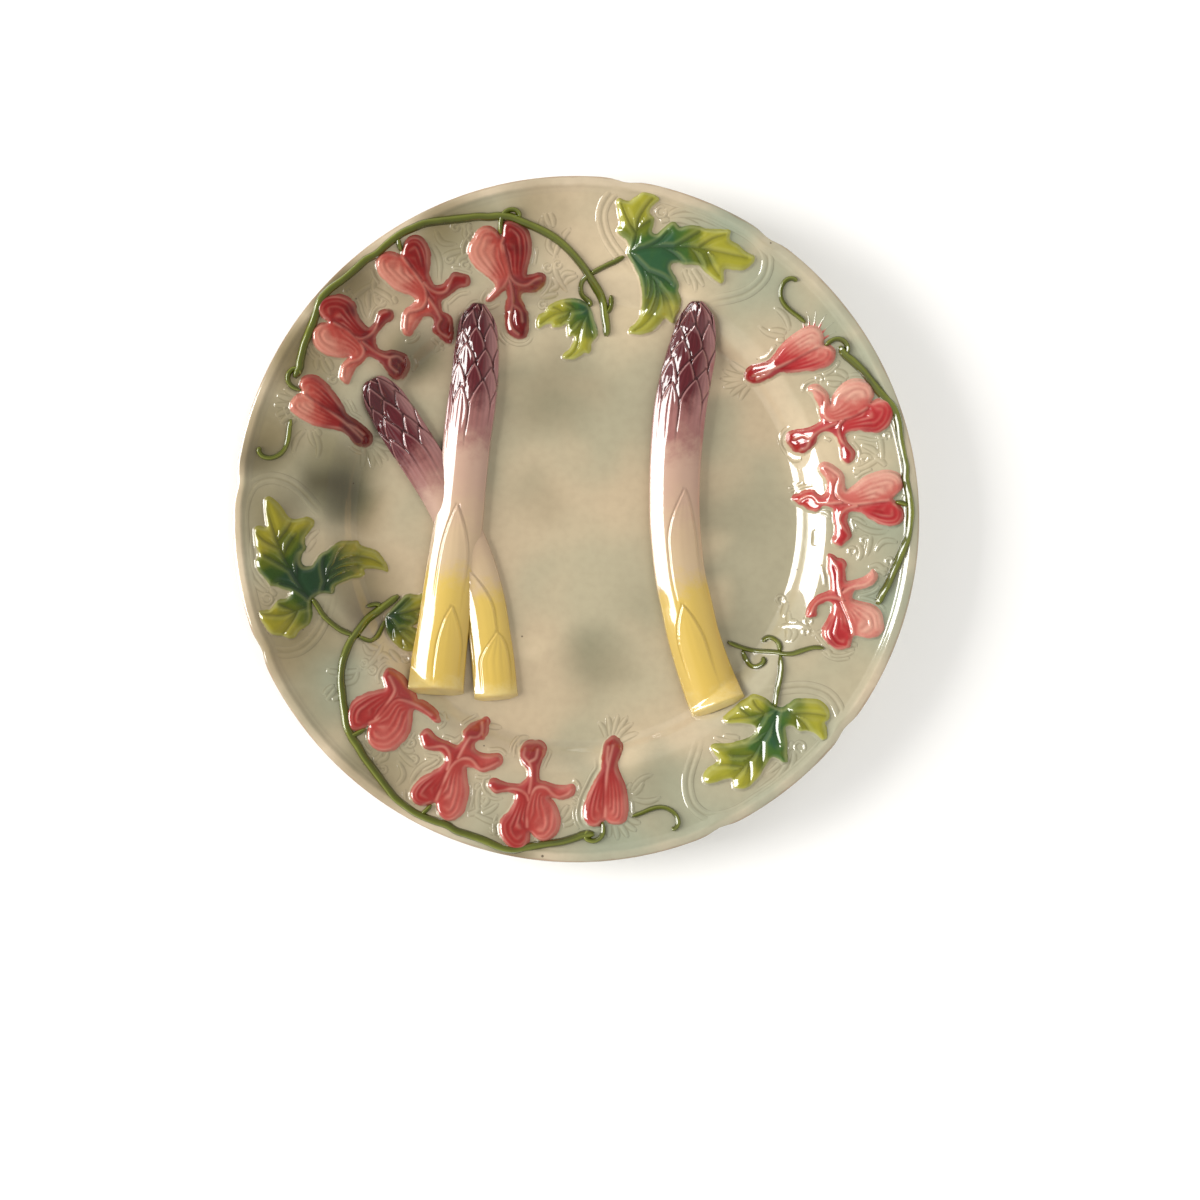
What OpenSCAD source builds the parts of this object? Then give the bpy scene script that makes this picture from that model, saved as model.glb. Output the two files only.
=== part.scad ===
// Asparagus plate in moulded, glazed earthenware
// The plate lies on its foot ring, with the middle of the foot ring at the origin and +Z up.
// Three like garlands of flowers go round the flange, and three asparagus spears divide the well.

/* [Plate] */
// Diameter over the rim
plate_d = 240; // [220:1:270]
// Height from the table to the top of the rim
plate_h = 25; // [22:0.5:32]
// Thickness of the floor
wall = 5; // [4:0.25:6]
// Thickness of the flange at the rim
rim_wall = 3.2; // [2.6:0.1:4]
// Width of the rounded lip
lip_w = 2.6; // [2.2:0.1:3.4]
// Depth of the dips in the rim beside the cartouches
rim_dip = 1; // [0.5:0.1:1.6]
// Radius of the dips in the rim
rim_dip_r = 14; // [8:1:20]

/* [Well] */
// Diameter of the flat floor of the well
well_d = 156; // [146:1:166]
// Width of the curved side of the well
well_side_w = 12; // [9:0.5:15]
// Height of the curved side of the well
well_side_h = 9; // [7:0.5:11]

/* [Foot] */
// Outer diameter of the foot ring
foot_d = 128; // [110:1:140]
// Width of the foot ring
foot_w = 4; // [3:0.25:6]
// Height of the foot ring
foot_h = 3; // [2:0.25:4]

/* [Asparagus] */
// Width of the thickest spear
spear_w = 20; // [16:0.5:22]
// Height of the thickest spear over the floor
spear_h = 7.5; // [6:0.5:10]
// Height of the spear that lies under another
low_spear_h = 6; // [4.5:0.5:8]

/* [Garlands] */
// Height of the flowers over the ground
flower_h = 3; // [2:0.1:4]
// Height of the leaves over the ground
leaf_h = 2.2; // [1.4:0.1:3]
// Width of the main stems
stem_w = 2.4; // [2:0.1:3.2]
// Height of the main stems over the ground
stem_h = 1.8; // [1.2:0.1:2.4]
// Width of the tendrils and leaf stalks
tendril_w = 1.8; // [1.4:0.1:2.4]
// Height of the tendrils and leaf stalks
tendril_h = 1.3; // [0.8:0.1:1.8]
// Width of the scroll frames
scroll_w = 3.4; // [2.6:0.1:4.2]
// Height of the scroll frames
scroll_h = 0.8; // [0.5:0.1:1.2]

/* [Hidden] */
$fn = 96;
GARLANDS = ["top", "bottom", "right"];
CARTOUCHES = ["upper_right", "left", "lower_right"];

overrun = 1;
// Depth of the relief below its ground: more than zero only where it cuts other relief
$depth = 0;

// The relief is drawn on a plate whose rim and well lie this many units from the middle
rim_share = 120;
well_share = 78;

rim_r = plate_d / 2;
well_r = well_d / 2;
foot_r = foot_d / 2;
flange_r = well_r + well_side_w;
floor_z = foot_h + wall;
flange_z = floor_z + well_side_h;
lip_r = lip_w / 2;
lip_z = plate_h - lip_r;
edge_r = rim_wall / 2;
flange_slope = (lip_z - flange_z) / (rim_r - lip_r - flange_r);

function square_of(t) = t * t;
// Rise of the well's side, which leaves the floor level and meets the flange at its slope
function side_rise(t) =
    square_of(t) * (3 - 2 * t) * well_side_h
    + square_of(t) * (t - 1) * flange_slope * well_side_w;

// Height of the plate's upper face, without the lip, at a distance from the axis
function ground_z(r) =
    r < well_r ? floor_z
    : r < flange_r ? floor_z + side_rise((r - well_r) / well_side_w)
    : flange_z + flange_slope * (r - flange_r);

// Thickness of the plate, which thins from the well's side to the rim
function wall_at(r) =
    r < flange_r ? wall
    : wall + (rim_wall - wall) * (r - flange_r) / (rim_r - edge_r - flange_r);

// A drawn place on the real plate: the well and the flange each stretch to their own size
function placed_r(share) =
    share < well_share ? share * well_r / well_share
    : well_r + (share - well_share) * (rim_r - well_r) / (rim_share - well_share);
function placed(shares) = shares * placed_r(norm(shares)) / norm(shares);

// The same, moved in where it would come nearer than the margin to the lip
function inside_lip(shares, margin) =
    let (p = placed(shares)) p * min(1, (rim_r - lip_w - margin) / norm(p));

// Plate

side_steps = 8;
lip_turn = 15;
side_radii = [for (i = [0:side_steps]) well_r + i * well_side_w / side_steps];

function arc(centre, radius, from, to) =
    [for (a = [from:-lip_turn:to]) centre + radius * [cos(a), sin(a)]];

plate_profile = concat(
    [[0, floor_z]],
    [for (r = side_radii) [r, ground_z(r)]],
    [[rim_r - lip_w, ground_z(rim_r - lip_w)]],
    arc([rim_r - lip_r, lip_z], lip_r, 180 - lip_turn, 0),
    arc([rim_r - edge_r, lip_z - edge_r], edge_r, 0, -90),
    [for (i = [side_steps:-1:0]) [side_radii[i], ground_z(side_radii[i]) - wall_at(side_radii[i])]],
    [
        [foot_r + foot_h / 3, foot_h],
        [foot_r, 0],
        [foot_r - foot_w, 0],
        [foot_r - foot_w - foot_h / 3, foot_h],
        [0, foot_h]
    ]
);

// Middles of the dips in the rim, in degrees round the plate
rim_dips = [55.5, 81.5, 174, 202.5, 295, 322];

module plate_body() {
    color("antiquewhite")
    difference() {
        rotate_extrude($fn = 180) polygon(plate_profile);
        for (a = rim_dips)
            rotate([0, 0, a])
                translate([rim_r + rim_dip_r - rim_dip, 0, 0])
                    cylinder(r = rim_dip_r, h = plate_h + overrun);
    }
}

// Relief that follows a line: a row of cross-sections that stand on the ground

// Unit direction of a line at one of its points
function along(line, i) =
    let (step = line[min(i + 1, len(line) - 1)] - line[max(i - 1, 0)])
    step / norm(step);

// Foot and crown points of a cross-section, as [across, up] shares of half the width and the height
ridge_shares = [[-1, 0], [-0.75, 0.6], [0, 1], [0.75, 0.6], [1, 0]];
double_ridge_shares = [[-1, 0], [-0.62, 1], [0, 0.2], [0.62, 1], [1, 0]];
half_round_shares = [for (a = [180:-22.5:0]) [cos(a), sin(a)]];

module relief_line(line, half_widths, heights, section_shares) {
    count = len(section_shares);
    last = len(line) - 1;
    points = [
        for (i = [0:last])
            let (ahead = along(line, i), side = [ahead[1], -ahead[0]])
            for (s = section_shares)
                let (p = line[i] + side * half_widths[i] * s[0])
                [p[0], p[1], ground_z(norm(p)) + (s[1] > 0 ? heights[i] * s[1] : -$depth)]
    ];
    sides = [
        for (i = [0:last - 1], k = [0:count - 1])
            let (a = i * count + k, b = i * count + (k + 1) % count)
            each [[a, a + count, b], [b, a + count, b + count]]
    ];
    near_end = [for (k = [0:count - 1]) k];
    far_end = [for (k = [count - 1:-1:0]) last * count + k];
    polyhedron(points, concat(sides, [near_end, far_end]), convexity = 8);
}

module even_line(line_shares, width, height, section_shares) {
    line = [for (shares = line_shares) inside_lip(shares, width / 2)];
    // The ends are drawn in
    ends_share = 0.6;
    last = len(line) - 1;
    sizes = [for (i = [0:last]) (i == 0 || i == last) ? ends_share : 1];
    relief_line(line, sizes * width / 2, sizes * height, section_shares);
}

// Relief that fills an outline: it rises from the outline to a crown over its midribs

function area2(o) =
    let (n = len(o))
    [for (i = [0:n - 1]) o[i][0] * o[(i + 1) % n][1] - o[i][1] * o[(i + 1) % n][0]]
    * [for (i = [0:n - 1]) 1];
function anticlockwise(o) =
    area2(o) > 0 ? o : [for (i = [len(o) - 1:-1:0]) o[i]];

function on_segment(p, a, b) =
    a + min(1, max(0, (p - a) * (b - a) / ((b - a) * (b - a)))) * (b - a);
function nearest(p, ribs) =
    let (
        feet = [for (rib = ribs, i = [0:len(rib) - 2]) on_segment(p, rib[i], rib[i + 1])],
        gaps = [for (f = feet) norm(p - f)],
        least = min(gaps)
    )
    [for (i = [0:len(feet) - 1]) if (gaps[i] == least) feet[i]][0];

// Triangles that fill an anticlockwise outline: the ear with the shortest cut goes first
function turn(a, b, c) = (b[0] - a[0]) * (c[1] - a[1]) - (b[1] - a[1]) * (c[0] - a[0]);
function holds(a, b, c, p) = turn(a, b, p) > 0 && turn(b, c, p) > 0 && turn(c, a, p) > 0;
function corner(left, k) =
    let (n = len(left)) [left[(k + n - 1) % n], left[k], left[(k + 1) % n]];
function is_ear(o, left, k) =
    let (c = corner(left, k))
    turn(o[c[0]], o[c[1]], o[c[2]]) > 0
    && len([for (j = left) if (holds(o[c[0]], o[c[1]], o[c[2]], o[j])) j]) == 0;
function ears(o, left) =
    len(left) < 4 ? [left]
    : let (
        found = [for (k = [0:len(left) - 1]) if (is_ear(o, left, k)) k],
        cuts = [for (k = found) let (c = corner(left, k)) norm(o[c[0]] - o[c[2]])],
        best = found[search(min(cuts), cuts)[0]]
    )
    concat([corner(left, best)], ears(o, [for (k = [0:len(left) - 1]) if (k != best) left[k]]));

// Rings from the outline towards the midribs, as [inward, up] shares of the way and the height
cushion_shares = [[0, 0], [0.06, 0.45], [0.4, 0.85], [0.8, 1]];

module cushion(outline_shares, rib_shares, height) {
    outline = anticlockwise([for (shares = outline_shares) inside_lip(shares, 0)]);
    ribs = [for (rib = rib_shares) [for (shares = rib) placed(shares)]];
    feet = [for (p = outline) nearest(p, ribs)];
    count = len(outline);
    last = len(cushion_shares) - 1;
    points = [
        for (s = cushion_shares, i = [0:count - 1])
            let (p = outline[i] + s[0] * (feet[i] - outline[i]))
            [p[0], p[1], ground_z(norm(p)) + (s[1] > 0 ? height * s[1] : -$depth)]
    ];
    sides = [
        for (k = [0:last - 1], i = [0:count - 1])
            let (a = k * count + i, b = k * count + (i + 1) % count)
            each [[a, a + count, b], [b, a + count, b + count]]
    ];
    indices = [for (i = [0:count - 1]) i];
    crown_ring = [for (i = indices) points[last * count + i]];
    under = ears(outline, indices);
    crown = [for (t = ears(crown_ring, indices)) [t[2], t[1], t[0]] + last * count * [1, 1, 1]];
    polyhedron(points, concat(sides, under, crown), convexity = 10);
}

// Asparagus spears, from tip to cut end

spear_half_shares = 10;
front_spear_line_shares = [
    [-34.4, 76.6], [-34.5, 75], [-34.7, 72.5], [-35, 69], [-35.5, 60], [-36.2, 50], [-37.5, 40],
    [-38.8, 30],
    [-39.8, 20], [-40.8, 10], [-41.8, 0], [-43.3, -10], [-44.8, -20], [-46.2, -30],
    [-47.6, -40], [-49, -50], [-50, -62]
];
front_spear_width_shares = [
    1.9, 3.5, 5.5, 7, 8.2, 8.6, 8.8, 8.7, 8.6, 8.6, 8.8, 9, 9.2, 9.3, 9.5, 10, 10
];
crossing_spear_line_shares = [
    [-72, 49.6], [-71.1, 48], [-68.3, 43.2], [-63.9, 35.5], [-58.5, 27.1], [-53.3, 19], [-48, 10], [-43, 0],
    [-38.5, -10], [-35, -20], [-32.5, -30], [-31, -40], [-29.7, -50], [-28.5, -64]
];
crossing_spear_width_shares = [2.6, 4.9, 7.2, 8.1, 8.1, 7.9, 7.7, 7.5, 7.5, 7.5, 7.5, 7.6, 7.8, 8];
right_spear_line_shares = [
    [42.4, 77], [42.4, 75.4], [42.4, 73], [42.2, 69], [41, 60], [38.8, 50], [36.9, 40],
    [35.9, 30], [35.2, 20],
    [34.9, 10], [35, 0], [35.8, -10], [37, -20], [39.2, -30], [41.4, -40], [44.4, -50],
    [48, -60], [50.8, -67]
];
right_spear_width_shares = [
    1.9, 3.6, 5.5, 7.2, 8.9, 9.4, 9.6, 9.5, 9.3, 9.2, 9.2, 9.2, 9.2, 9.3, 9.4, 9.6, 10, 10
];

// Relief that cuts away what lies under it
module as_cutter() {
    $depth = overrun;
    children();
}

module spear(line_shares, width_shares, height) {
    widths = width_shares / spear_half_shares;
    line = [for (shares = line_shares) placed(shares)];
    relief_line(line, widths * spear_w / 2, widths * height, half_round_shares);
}

module front_spear() {
    color("darkkhaki") spear(front_spear_line_shares, front_spear_width_shares, spear_h);
}

module crossing_spear() {
    color("khaki")
    difference() {
        spear(crossing_spear_line_shares, crossing_spear_width_shares, low_spear_h);
        as_cutter() front_spear();
    }
}

module right_spear() {
    color("darkkhaki") spear(right_spear_line_shares, right_spear_width_shares, spear_h);
}

// Garlands, each drawn with its middle straight up the Y axis

bud_shares = [
    [-47, 95], [-49, 95.3], [-51, 95], [-53, 94], [-53.8, 92], [-53.5, 89.5], [-52.5, 87], [-51, 84],
    [-49, 81], [-46.5, 78.5], [-44.5, 76], [-44, 73], [-44, 70], [-43, 68], [-41.5, 67.2],
    [-40, 67], [-38.5, 68], [-37.6, 70], [-37.8, 73], [-38.5, 76], [-39.5, 79], [-38.9, 82],
    [-38.5, 86], [-38.2, 90], [-38.4, 93], [-39.2, 96], [-41, 98], [-43.5, 98.7], [-45.8, 97.5]
];
bud_rib_shares = [
    [[-49, 91.5], [-46, 85.5], [-43, 81], [-41.3, 76], [-40.8, 70.5]],
    [[-42, 94], [-42.6, 88], [-43, 81]]
];

first_flower_shares = [
    [-24.2, 108.3], [-26.5, 109.3], [-29, 109.5], [-31, 108.5], [-32.5, 106], [-33, 103.5],
    [-32.5, 101], [-31, 98.5], [-28.5, 96], [-26, 94.7], [-28, 94.1], [-30, 93.8], [-32.5, 92],
    [-33.5, 90.5], [-33.2, 88.5], [-32, 87.8], [-30, 89], [-27, 90], [-23, 90.3], [-20.5, 90.3],
    [-19, 87], [-18.8, 84], [-19, 81], [-18.5, 79], [-16.5, 78], [-14, 78.5], [-11.5, 80],
    [-10.3, 82.5], [-11, 84.5], [-13, 87], [-15.5, 88.5], [-16.5, 91], [-15, 94], [-12, 95.2],
    [-9, 95.6], [-6, 95.5], [-4.4, 96.8], [-4.6, 98.4], [-6, 99.5], [-8, 100], [-10, 99], [-12, 98],
    [-14.6, 98.2], [-15, 101.5], [-14.3, 104.5], [-13, 107.5], [-13.2, 110], [-15, 113],
    [-18, 115], [-21, 115.6], [-24, 114.2], [-24.8, 111.5]
];
first_flower_rib_shares = [
    [[-28.5, 105], [-26, 101], [-21.5, 96], [-18.5, 91], [-15.5, 86], [-14.8, 82]],
    [[-19.5, 110], [-19.5, 103], [-19.3, 97.5], [-21.5, 96]],
    [[-21.5, 96], [-23, 92.8], [-27, 92], [-30.5, 91.3], [-32.4, 89.6]],
    [[-19.3, 97.5], [-16, 96.2], [-12, 96.7], [-8, 98], [-5.8, 97.5]]
];

middle_flower_shares = [
    [10.5, 110.5], [9, 112.5], [7.5, 114], [5, 114.8], [2.5, 114], [1, 112], [0.3, 109.5],
    [0.5, 106.5], [1.2, 103], [2.5, 100.5], [4, 98], [4.9, 95.4], [2.2, 94.8], [0, 95],
    [-2, 94.4], [-3.5, 93], [-5, 91.5], [-6, 89.5], [-5.4, 87.8], [-4, 87.2], [-2, 88],
    [1, 89], [4, 88.8], [5.5, 87], [4.5, 85.3], [3, 84.3], [2.6, 82], [3, 80], [3.5, 77.8],
    [4.8, 77], [6.3, 77.9], [8, 79.8], [9.5, 81.5], [10.5, 83.5], [10.3, 85], [9.4, 86.4],
    [9.8, 88], [11, 89.6], [14, 89.5], [17, 89.6], [19.5, 89], [21.5, 87.9], [23, 88.2], [24.2, 90.3],
    [22.8, 92.5], [21, 94.3], [18, 94], [15.5, 93.6], [13.2, 94.8], [12.8, 96.5], [13.8, 99],
    [16, 101.5], [18.2, 104], [19.7, 107], [20, 110], [19, 112], [17, 113.2], [14.8, 113.1],
    [12.5, 111.8]
];
middle_flower_rib_shares = [
    [[5.3, 109.5], [6, 104], [8, 98.5], [8.6, 93], [7.8, 88], [6.6, 83.5], [5.5, 80]],
    [[15.5, 109], [13, 104], [10, 99.5], [8.6, 93]],
    [[8.6, 93], [5, 91.7], [1, 91.6], [-2.5, 90.8], [-4.4, 89.2]],
    [[8.6, 93], [12, 91.6], [16, 91.5], [20, 91.3], [22.4, 90]]
];

top_last_flower_shares = [
    [42, 93.6], [41.8, 96], [41, 98.5], [39, 100], [36.5, 100.2], [34, 99.2], [32, 98.7], [30, 97.5],
    [28.8, 95.5], [28.3, 93], [28.5, 90], [29.3, 86.5], [30, 83.5], [29.6, 81.8], [28, 81.2],
    [25.5, 80.9], [24, 80.2], [25, 79.3], [27.5, 79], [30, 79.2], [31.8, 78.7], [30.5, 76.5],
    [28, 74.5], [25.5, 72], [23.8, 69.5], [23, 67], [23.6, 64.5], [25, 62.8], [26.8, 62.1],
    [29, 63.3], [31, 65.5], [32.8, 68], [33.3, 70.5], [34, 73], [35.2, 74.3], [36.5, 74], [38, 72.6],
    [40, 71.6], [42.5, 71.7], [44.5, 72.5], [45.4, 74], [44.3, 75.8], [42, 76.8], [40.4, 78],
    [41.5, 79.3], [44, 80.8], [46.5, 82.8], [48.5, 85], [50, 88], [50.3, 90.5], [49.5, 93.5],
    [48, 95.8], [46, 96.7], [44, 95.5]
];
top_last_flower_rib_shares = [
    [[35.2, 94], [35, 88.5], [35.2, 82.5], [33.4, 77], [29.5, 72], [26.8, 67], [26.5, 64.8]],
    [[45.4, 91], [42, 86], [38, 82], [35.2, 82.5]],
    [[35.2, 82.5], [32.6, 80.4], [29, 80], [25.8, 80.1]],
    [[38, 82], [37.3, 77.5], [39.5, 75], [43, 74]]
];

bottom_last_flower_shares = [
    [42.2, 93.8], [41.8, 96], [41, 98], [39.5, 99.5], [37, 100.5], [34, 100.3], [31.5, 99], [30, 97],
    [29, 95], [28.3, 92], [28.2, 90], [28.9, 87], [29.8, 84.5], [29.5, 83], [28, 82.8],
    [25.5, 83.2], [23, 84], [20.8, 84.5], [19.6, 83.8], [20.2, 82.3], [22, 81], [24.5, 80],
    [27.5, 79.3], [29.8, 79.6], [31, 78.3], [33.5, 76.3], [35.5, 75], [38, 73.6], [40.5, 73],
    [43, 72.7], [43.8, 74], [43.8, 76], [42.5, 77.8], [41.6, 79.6], [43.5, 81], [46.5, 83],
    [48.5, 85], [50, 87], [50.8, 89.5], [50.5, 92.5], [49.3, 95], [47.5, 97], [45.5, 96.8],
    [43.5, 95.5]
];
bottom_last_flower_rib_shares = [
    [[35.3, 94.5], [35, 88], [35.4, 82.5], [36.6, 78.5], [39.5, 76], [42.4, 74.6]],
    [[45.8, 91.5], [42, 86], [37.6, 82], [36.6, 78.5]],
    [[35.4, 82.5], [31, 81.2], [27, 81.2], [23, 82.4], [20.8, 83.5]]
];

right_last_flower_shares = [
    [43, 91.3], [44.5, 94], [46, 97.5], [48.5, 99.8], [52, 100.3], [55.5, 99.7], [57.5, 97],
    [57.3, 93.5], [56, 90.3], [57, 88.8], [59.5, 87.5], [60, 85], [59.5, 82.5], [57.5, 80.5],
    [55, 79.3], [52.5, 79.2], [50.5, 80.3], [48.5, 82], [46.5, 83.5], [44, 84], [42.8, 82.6],
    [43, 80.5], [43.6, 79], [45, 78.3], [46.8, 77.8], [47.3, 76.2], [46.8, 74.8], [45, 75.2],
    [43, 76.3], [41.3, 78], [40, 80], [39.4, 82.5], [38.8, 84.2], [37.5, 84.7], [34, 85],
    [31, 84.8], [28.5, 85.3], [26.3, 85.8], [26.8, 87.3], [28, 88.3], [28.8, 90.3], [30.5, 91],
    [33, 90.3], [35.5, 89.9], [36.6, 90.4], [36.8, 92.5], [36.5, 95], [36, 97], [34.8, 98.8],
    [34, 100], [35.5, 100.9], [37.5, 100.7], [39.3, 99], [40, 96.5], [40, 94], [40.5, 92.3]
];
right_last_flower_rib_shares = [
    [[52.5, 95.8], [49.5, 91.5], [46, 88.3], [42, 87.8], [37, 87.6], [32.5, 87.8], [28, 87]],
    [[56, 84.5], [52, 83.8], [48.5, 86.3], [46, 88.3]],
    [[42, 87.8], [40.9, 83.5], [42, 79.2], [45.6, 76.3]],
    [[37.8, 87.6], [38.6, 92], [38.3, 96.5], [36.3, 99.6]]
];

stem_shares = [
    [-45.5, 100.8], [-42, 102.4], [-40, 104], [-36, 107], [-32, 109.6], [-28.5, 111.8],
    [-25, 114.2], [-20, 116.9], [-14, 117.2], [-7, 117], [0, 117], [7, 116.6], [13, 116.3],
    [20, 115], [24, 113.4], [28, 111.3], [32, 109], [36, 106.5], [40, 104], [44, 101.2],
    [46.6, 99.1]
];
top_stem_end_shares = [
    [49, 97.2], [51.4, 95], [52.6, 91.5], [54, 87.5], [55.6, 84], [57, 79.5], [57.8, 75], [58, 70],
    [57.8, 65], [57.2, 60],
    [56.8, 56.5], [55.6, 53.3], [53.8, 50.2], [51.6, 47], [49.5, 44.2]
];
bottom_stem_end_shares = [
    [49, 97.2], [51.4, 95], [53, 91.5], [55, 86.5], [57, 82], [58.5, 77], [59, 72], [58.8, 68],
    [58, 65], [57, 61],
    [55.8, 57.8], [53.8, 54.3], [51.7, 51], [49.5, 47.5]
];
tendril_shares = [
    [-55.5, 90.3], [-58, 88.2], [-60.5, 85.8], [-63, 84], [-65.5, 83.2], [-68, 83.4], [-70, 84.4],
    [-71.3, 86], [-71.2, 87.8], [-70, 88.6], [-69, 87.8]
];
top_stalk_shares = [[59.4, 64], [62, 63.5], [65, 62.8], [68, 62], [71, 61.4]];
bottom_stalk_shares = [[60.4, 66], [63.5, 66], [67, 65], [71, 63.3], [74, 61], [76, 59.6]];
right_stalk_shares = [[59.8, 63.6], [64, 62.8], [69, 61], [72.6, 59.7], [75.4, 59]];

leaflet_shares = [
    [51.4, 56.2], [50.5, 59.5], [48.5, 62], [46, 63.8], [43, 65], [40, 65.4], [37.5, 64.6],
    [35, 65], [33, 63.5], [32.3, 62], [32.8, 61.2], [35, 60.8], [36.7, 59.8], [36.6, 58.4],
    [38.6, 56.9], [41, 56.4], [40.4, 55.2], [38.9, 53], [39.3, 52], [40.2, 51.6], [39.8, 50.5],
    [38.2, 49.6], [36, 48.9], [34, 48.8], [32.7, 48.5], [32.6, 47.3], [33.8, 46], [35.5, 44.9],
    [37.5, 44.5], [39.5, 44.3], [40.8, 43.3], [42, 43.9], [43.5, 45.3], [46.5, 46], [47.8, 47],
    [48.5, 48.5], [49.6, 51.2]
];
leaflet_rib_shares = [
    [[50, 56], [46.5, 58.5], [42, 60.6], [38, 61.6], [34.4, 62.5]],
    [[50, 56], [46, 52], [42, 48.6], [38, 46.8], [34.2, 47.2]]
];

upper_right_leaf_shares = [
    [73, 61.8], [74.5, 62.8], [75.2, 65], [74.5, 68], [75, 69.8], [77, 70.7], [78.3, 73],
    [79.8, 75.5], [80.8, 77.4], [82.3, 77.6], [83, 76.3], [84.5, 74.7], [87, 74.5], [90, 74.3],
    [91.8, 72.5], [93, 70.3], [92.8, 68.3], [90.5, 68.3], [88, 67.8], [87.3, 66.5], [87.4, 65],
    [86.3, 63.3], [84, 61.6], [85, 59.8], [88, 59.9], [91, 59.8], [92.2, 58.8], [92.5, 56.5],
    [95, 55.2], [97.5, 53], [99, 50.5], [101.5, 48], [104, 45.8], [105.2, 44.5], [103.3, 42],
    [104.5, 38.5], [105, 35], [106.3, 32.3], [105, 30.8], [102.5, 30.4], [100, 31], [98, 32.8],
    [95.5, 35.2], [93, 32.5], [91.5, 32.3], [90.5, 35], [89.8, 38.5], [89.5, 41.5], [88, 43.5],
    [85.5, 45.5], [84.5, 47.3], [82.8, 48.4], [81.2, 47.2], [80.3, 42], [78.5, 39.8], [77.5, 37],
    [75.5, 35], [73, 34], [70.8, 32.8], [69.5, 35.8], [67, 35.4], [63, 35.2], [60, 36.3],
    [57.5, 38.3], [56.4, 39.8], [57.5, 41], [60, 41.2], [63, 42], [65.2, 44], [67.5, 46.5],
    [69.5, 49.5], [71, 53], [71.8, 57], [72.2, 60]
];
left_leaf_shares = [
    [76.8, 60], [76, 62.5], [74.8, 65], [74.5, 67.5], [75.5, 69.5], [76.8, 71.5], [77.5, 74],
    [79, 75.2], [81.5, 75.2], [84.5, 76], [86.5, 75.5], [88.5, 74], [90.5, 72.5], [92, 70],
    [90.5, 69], [88.8, 68], [87.8, 64.8], [87, 63.8], [85, 62.3], [84.6, 60], [87, 60],
    [90, 60], [92, 60.3], [93.8, 59], [95.8, 58], [98, 56.5], [99.5, 54], [99.5, 51.5], [101.5, 49],
    [103, 46], [104, 43.5], [103, 42.3], [100.5, 41.5], [101.5, 39], [103, 36], [104.3, 32.8],
    [103.5, 31.5], [101, 32], [98, 33.5], [95.5, 35.3], [93.5, 35.8], [91.5, 35], [89, 33.4],
    [86.5, 33.5], [85.8, 35], [86.5, 38], [86.8, 41], [85.3, 43.5], [85.8, 46], [85.3, 48.5],
    [83.5, 49.8], [81.3, 48.6], [80.8, 47], [80, 44], [78, 41.5], [77, 39.3], [75.5, 37.3], [72.5, 35.8],
    [70.3, 35], [69, 36], [66.5, 36], [63, 35.8], [60.5, 37], [57.8, 39], [56.5, 41.2], [59, 41.5],
    [62, 42.2], [64.5, 43.5], [63.8, 45], [64.5, 46.5], [67, 48], [69.5, 50.5], [71.2, 52.5],
    [71, 55.2], [74, 56.3], [76, 57.8]
];
lower_right_leaf_shares = [
    [77, 61], [76, 63.5], [74.8, 66], [75, 68.5], [75.5, 71.5], [76.3, 74], [78.5, 76], [81, 76.8],
    [83.2, 76.2], [84.5, 74.8], [87, 75], [89.5, 74.8], [90.3, 73], [89.3, 71.8], [87.3, 70],
    [86.3, 67.8], [86, 65.5], [84, 63.4], [84, 61.2], [87, 60.8], [90, 60.5], [93, 60], [95.5, 59.8],
    [96, 58], [94.5, 56.5], [93.8, 54.5], [96, 51.8], [99, 49.5], [101, 47], [102.5, 44.5],
    [102.8, 42], [101.8, 39.8], [99, 39.5], [98.8, 37], [99.3, 34], [99.2, 31], [98, 29.8],
    [96, 30], [94, 32], [92.8, 34.5], [91.5, 36], [89.5, 35], [87, 34.3], [86, 35.5], [86.3, 39],
    [86.3, 43], [86, 46.5], [85, 49], [83.5, 50.8], [81.7, 49.8], [80.5, 46.5], [80, 43.5],
    [79.3, 40.8], [77.5, 40.2], [76.5, 41.5], [75, 44], [73, 47], [72, 49.5], [71, 51.5], [71.5, 53.5],
    [73, 55.8], [75.4, 58]
];
leaf_rib_shares = [
    [[77, 60.6], [80, 66], [83.6, 70], [87.5, 71]],
    [[77, 60.6], [80.5, 56.5], [85.5, 52.5], [91.5, 46], [97, 40], [101.5, 34.5]],
    [[77, 60.6], [77.2, 55], [75.5, 48.5], [71.5, 42.5], [66.5, 39.5], [60.5, 38.8]]
];
lower_right_leaf_rib_shares = [
    leaf_rib_shares[0],
    leaf_rib_shares[1],
    [[77, 60.6], [77, 55], [77.3, 49], [77.8, 43.5]]
];

scroll_shares = [
    [70.4, 56.5], [70.2, 62], [70.4, 68], [71.6, 73], [74.4, 77.6], [79, 80.2], [84, 79],
    [88.8, 74.2], [93.5, 68.3], [98.2, 61.4], [102.6, 53.8], [106.4, 45.8], [109, 38.5],
    [110.2, 33], [109, 28.6], [106, 25.4], [101.5, 24], [96.5, 24.4], [92, 26.2], [88, 28.4],
    [84, 30.3], [79.6, 31.8]
];

// Angles round the plate of the middles of the garlands
garland_turns = [129, 249, 9];

module in_garland(i) {
    rotate([0, 0, garland_turns[i] - 90]) children();
}

module bud(i) {
    color("indianred") in_garland(i) cushion(bud_shares, bud_rib_shares, flower_h);
}

module first_flower(i) {
    color("indianred")
    in_garland(i) cushion(first_flower_shares, first_flower_rib_shares, flower_h);
}

module middle_flower(i) {
    color("indianred")
    in_garland(i) cushion(middle_flower_shares, middle_flower_rib_shares, flower_h);
}

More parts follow.
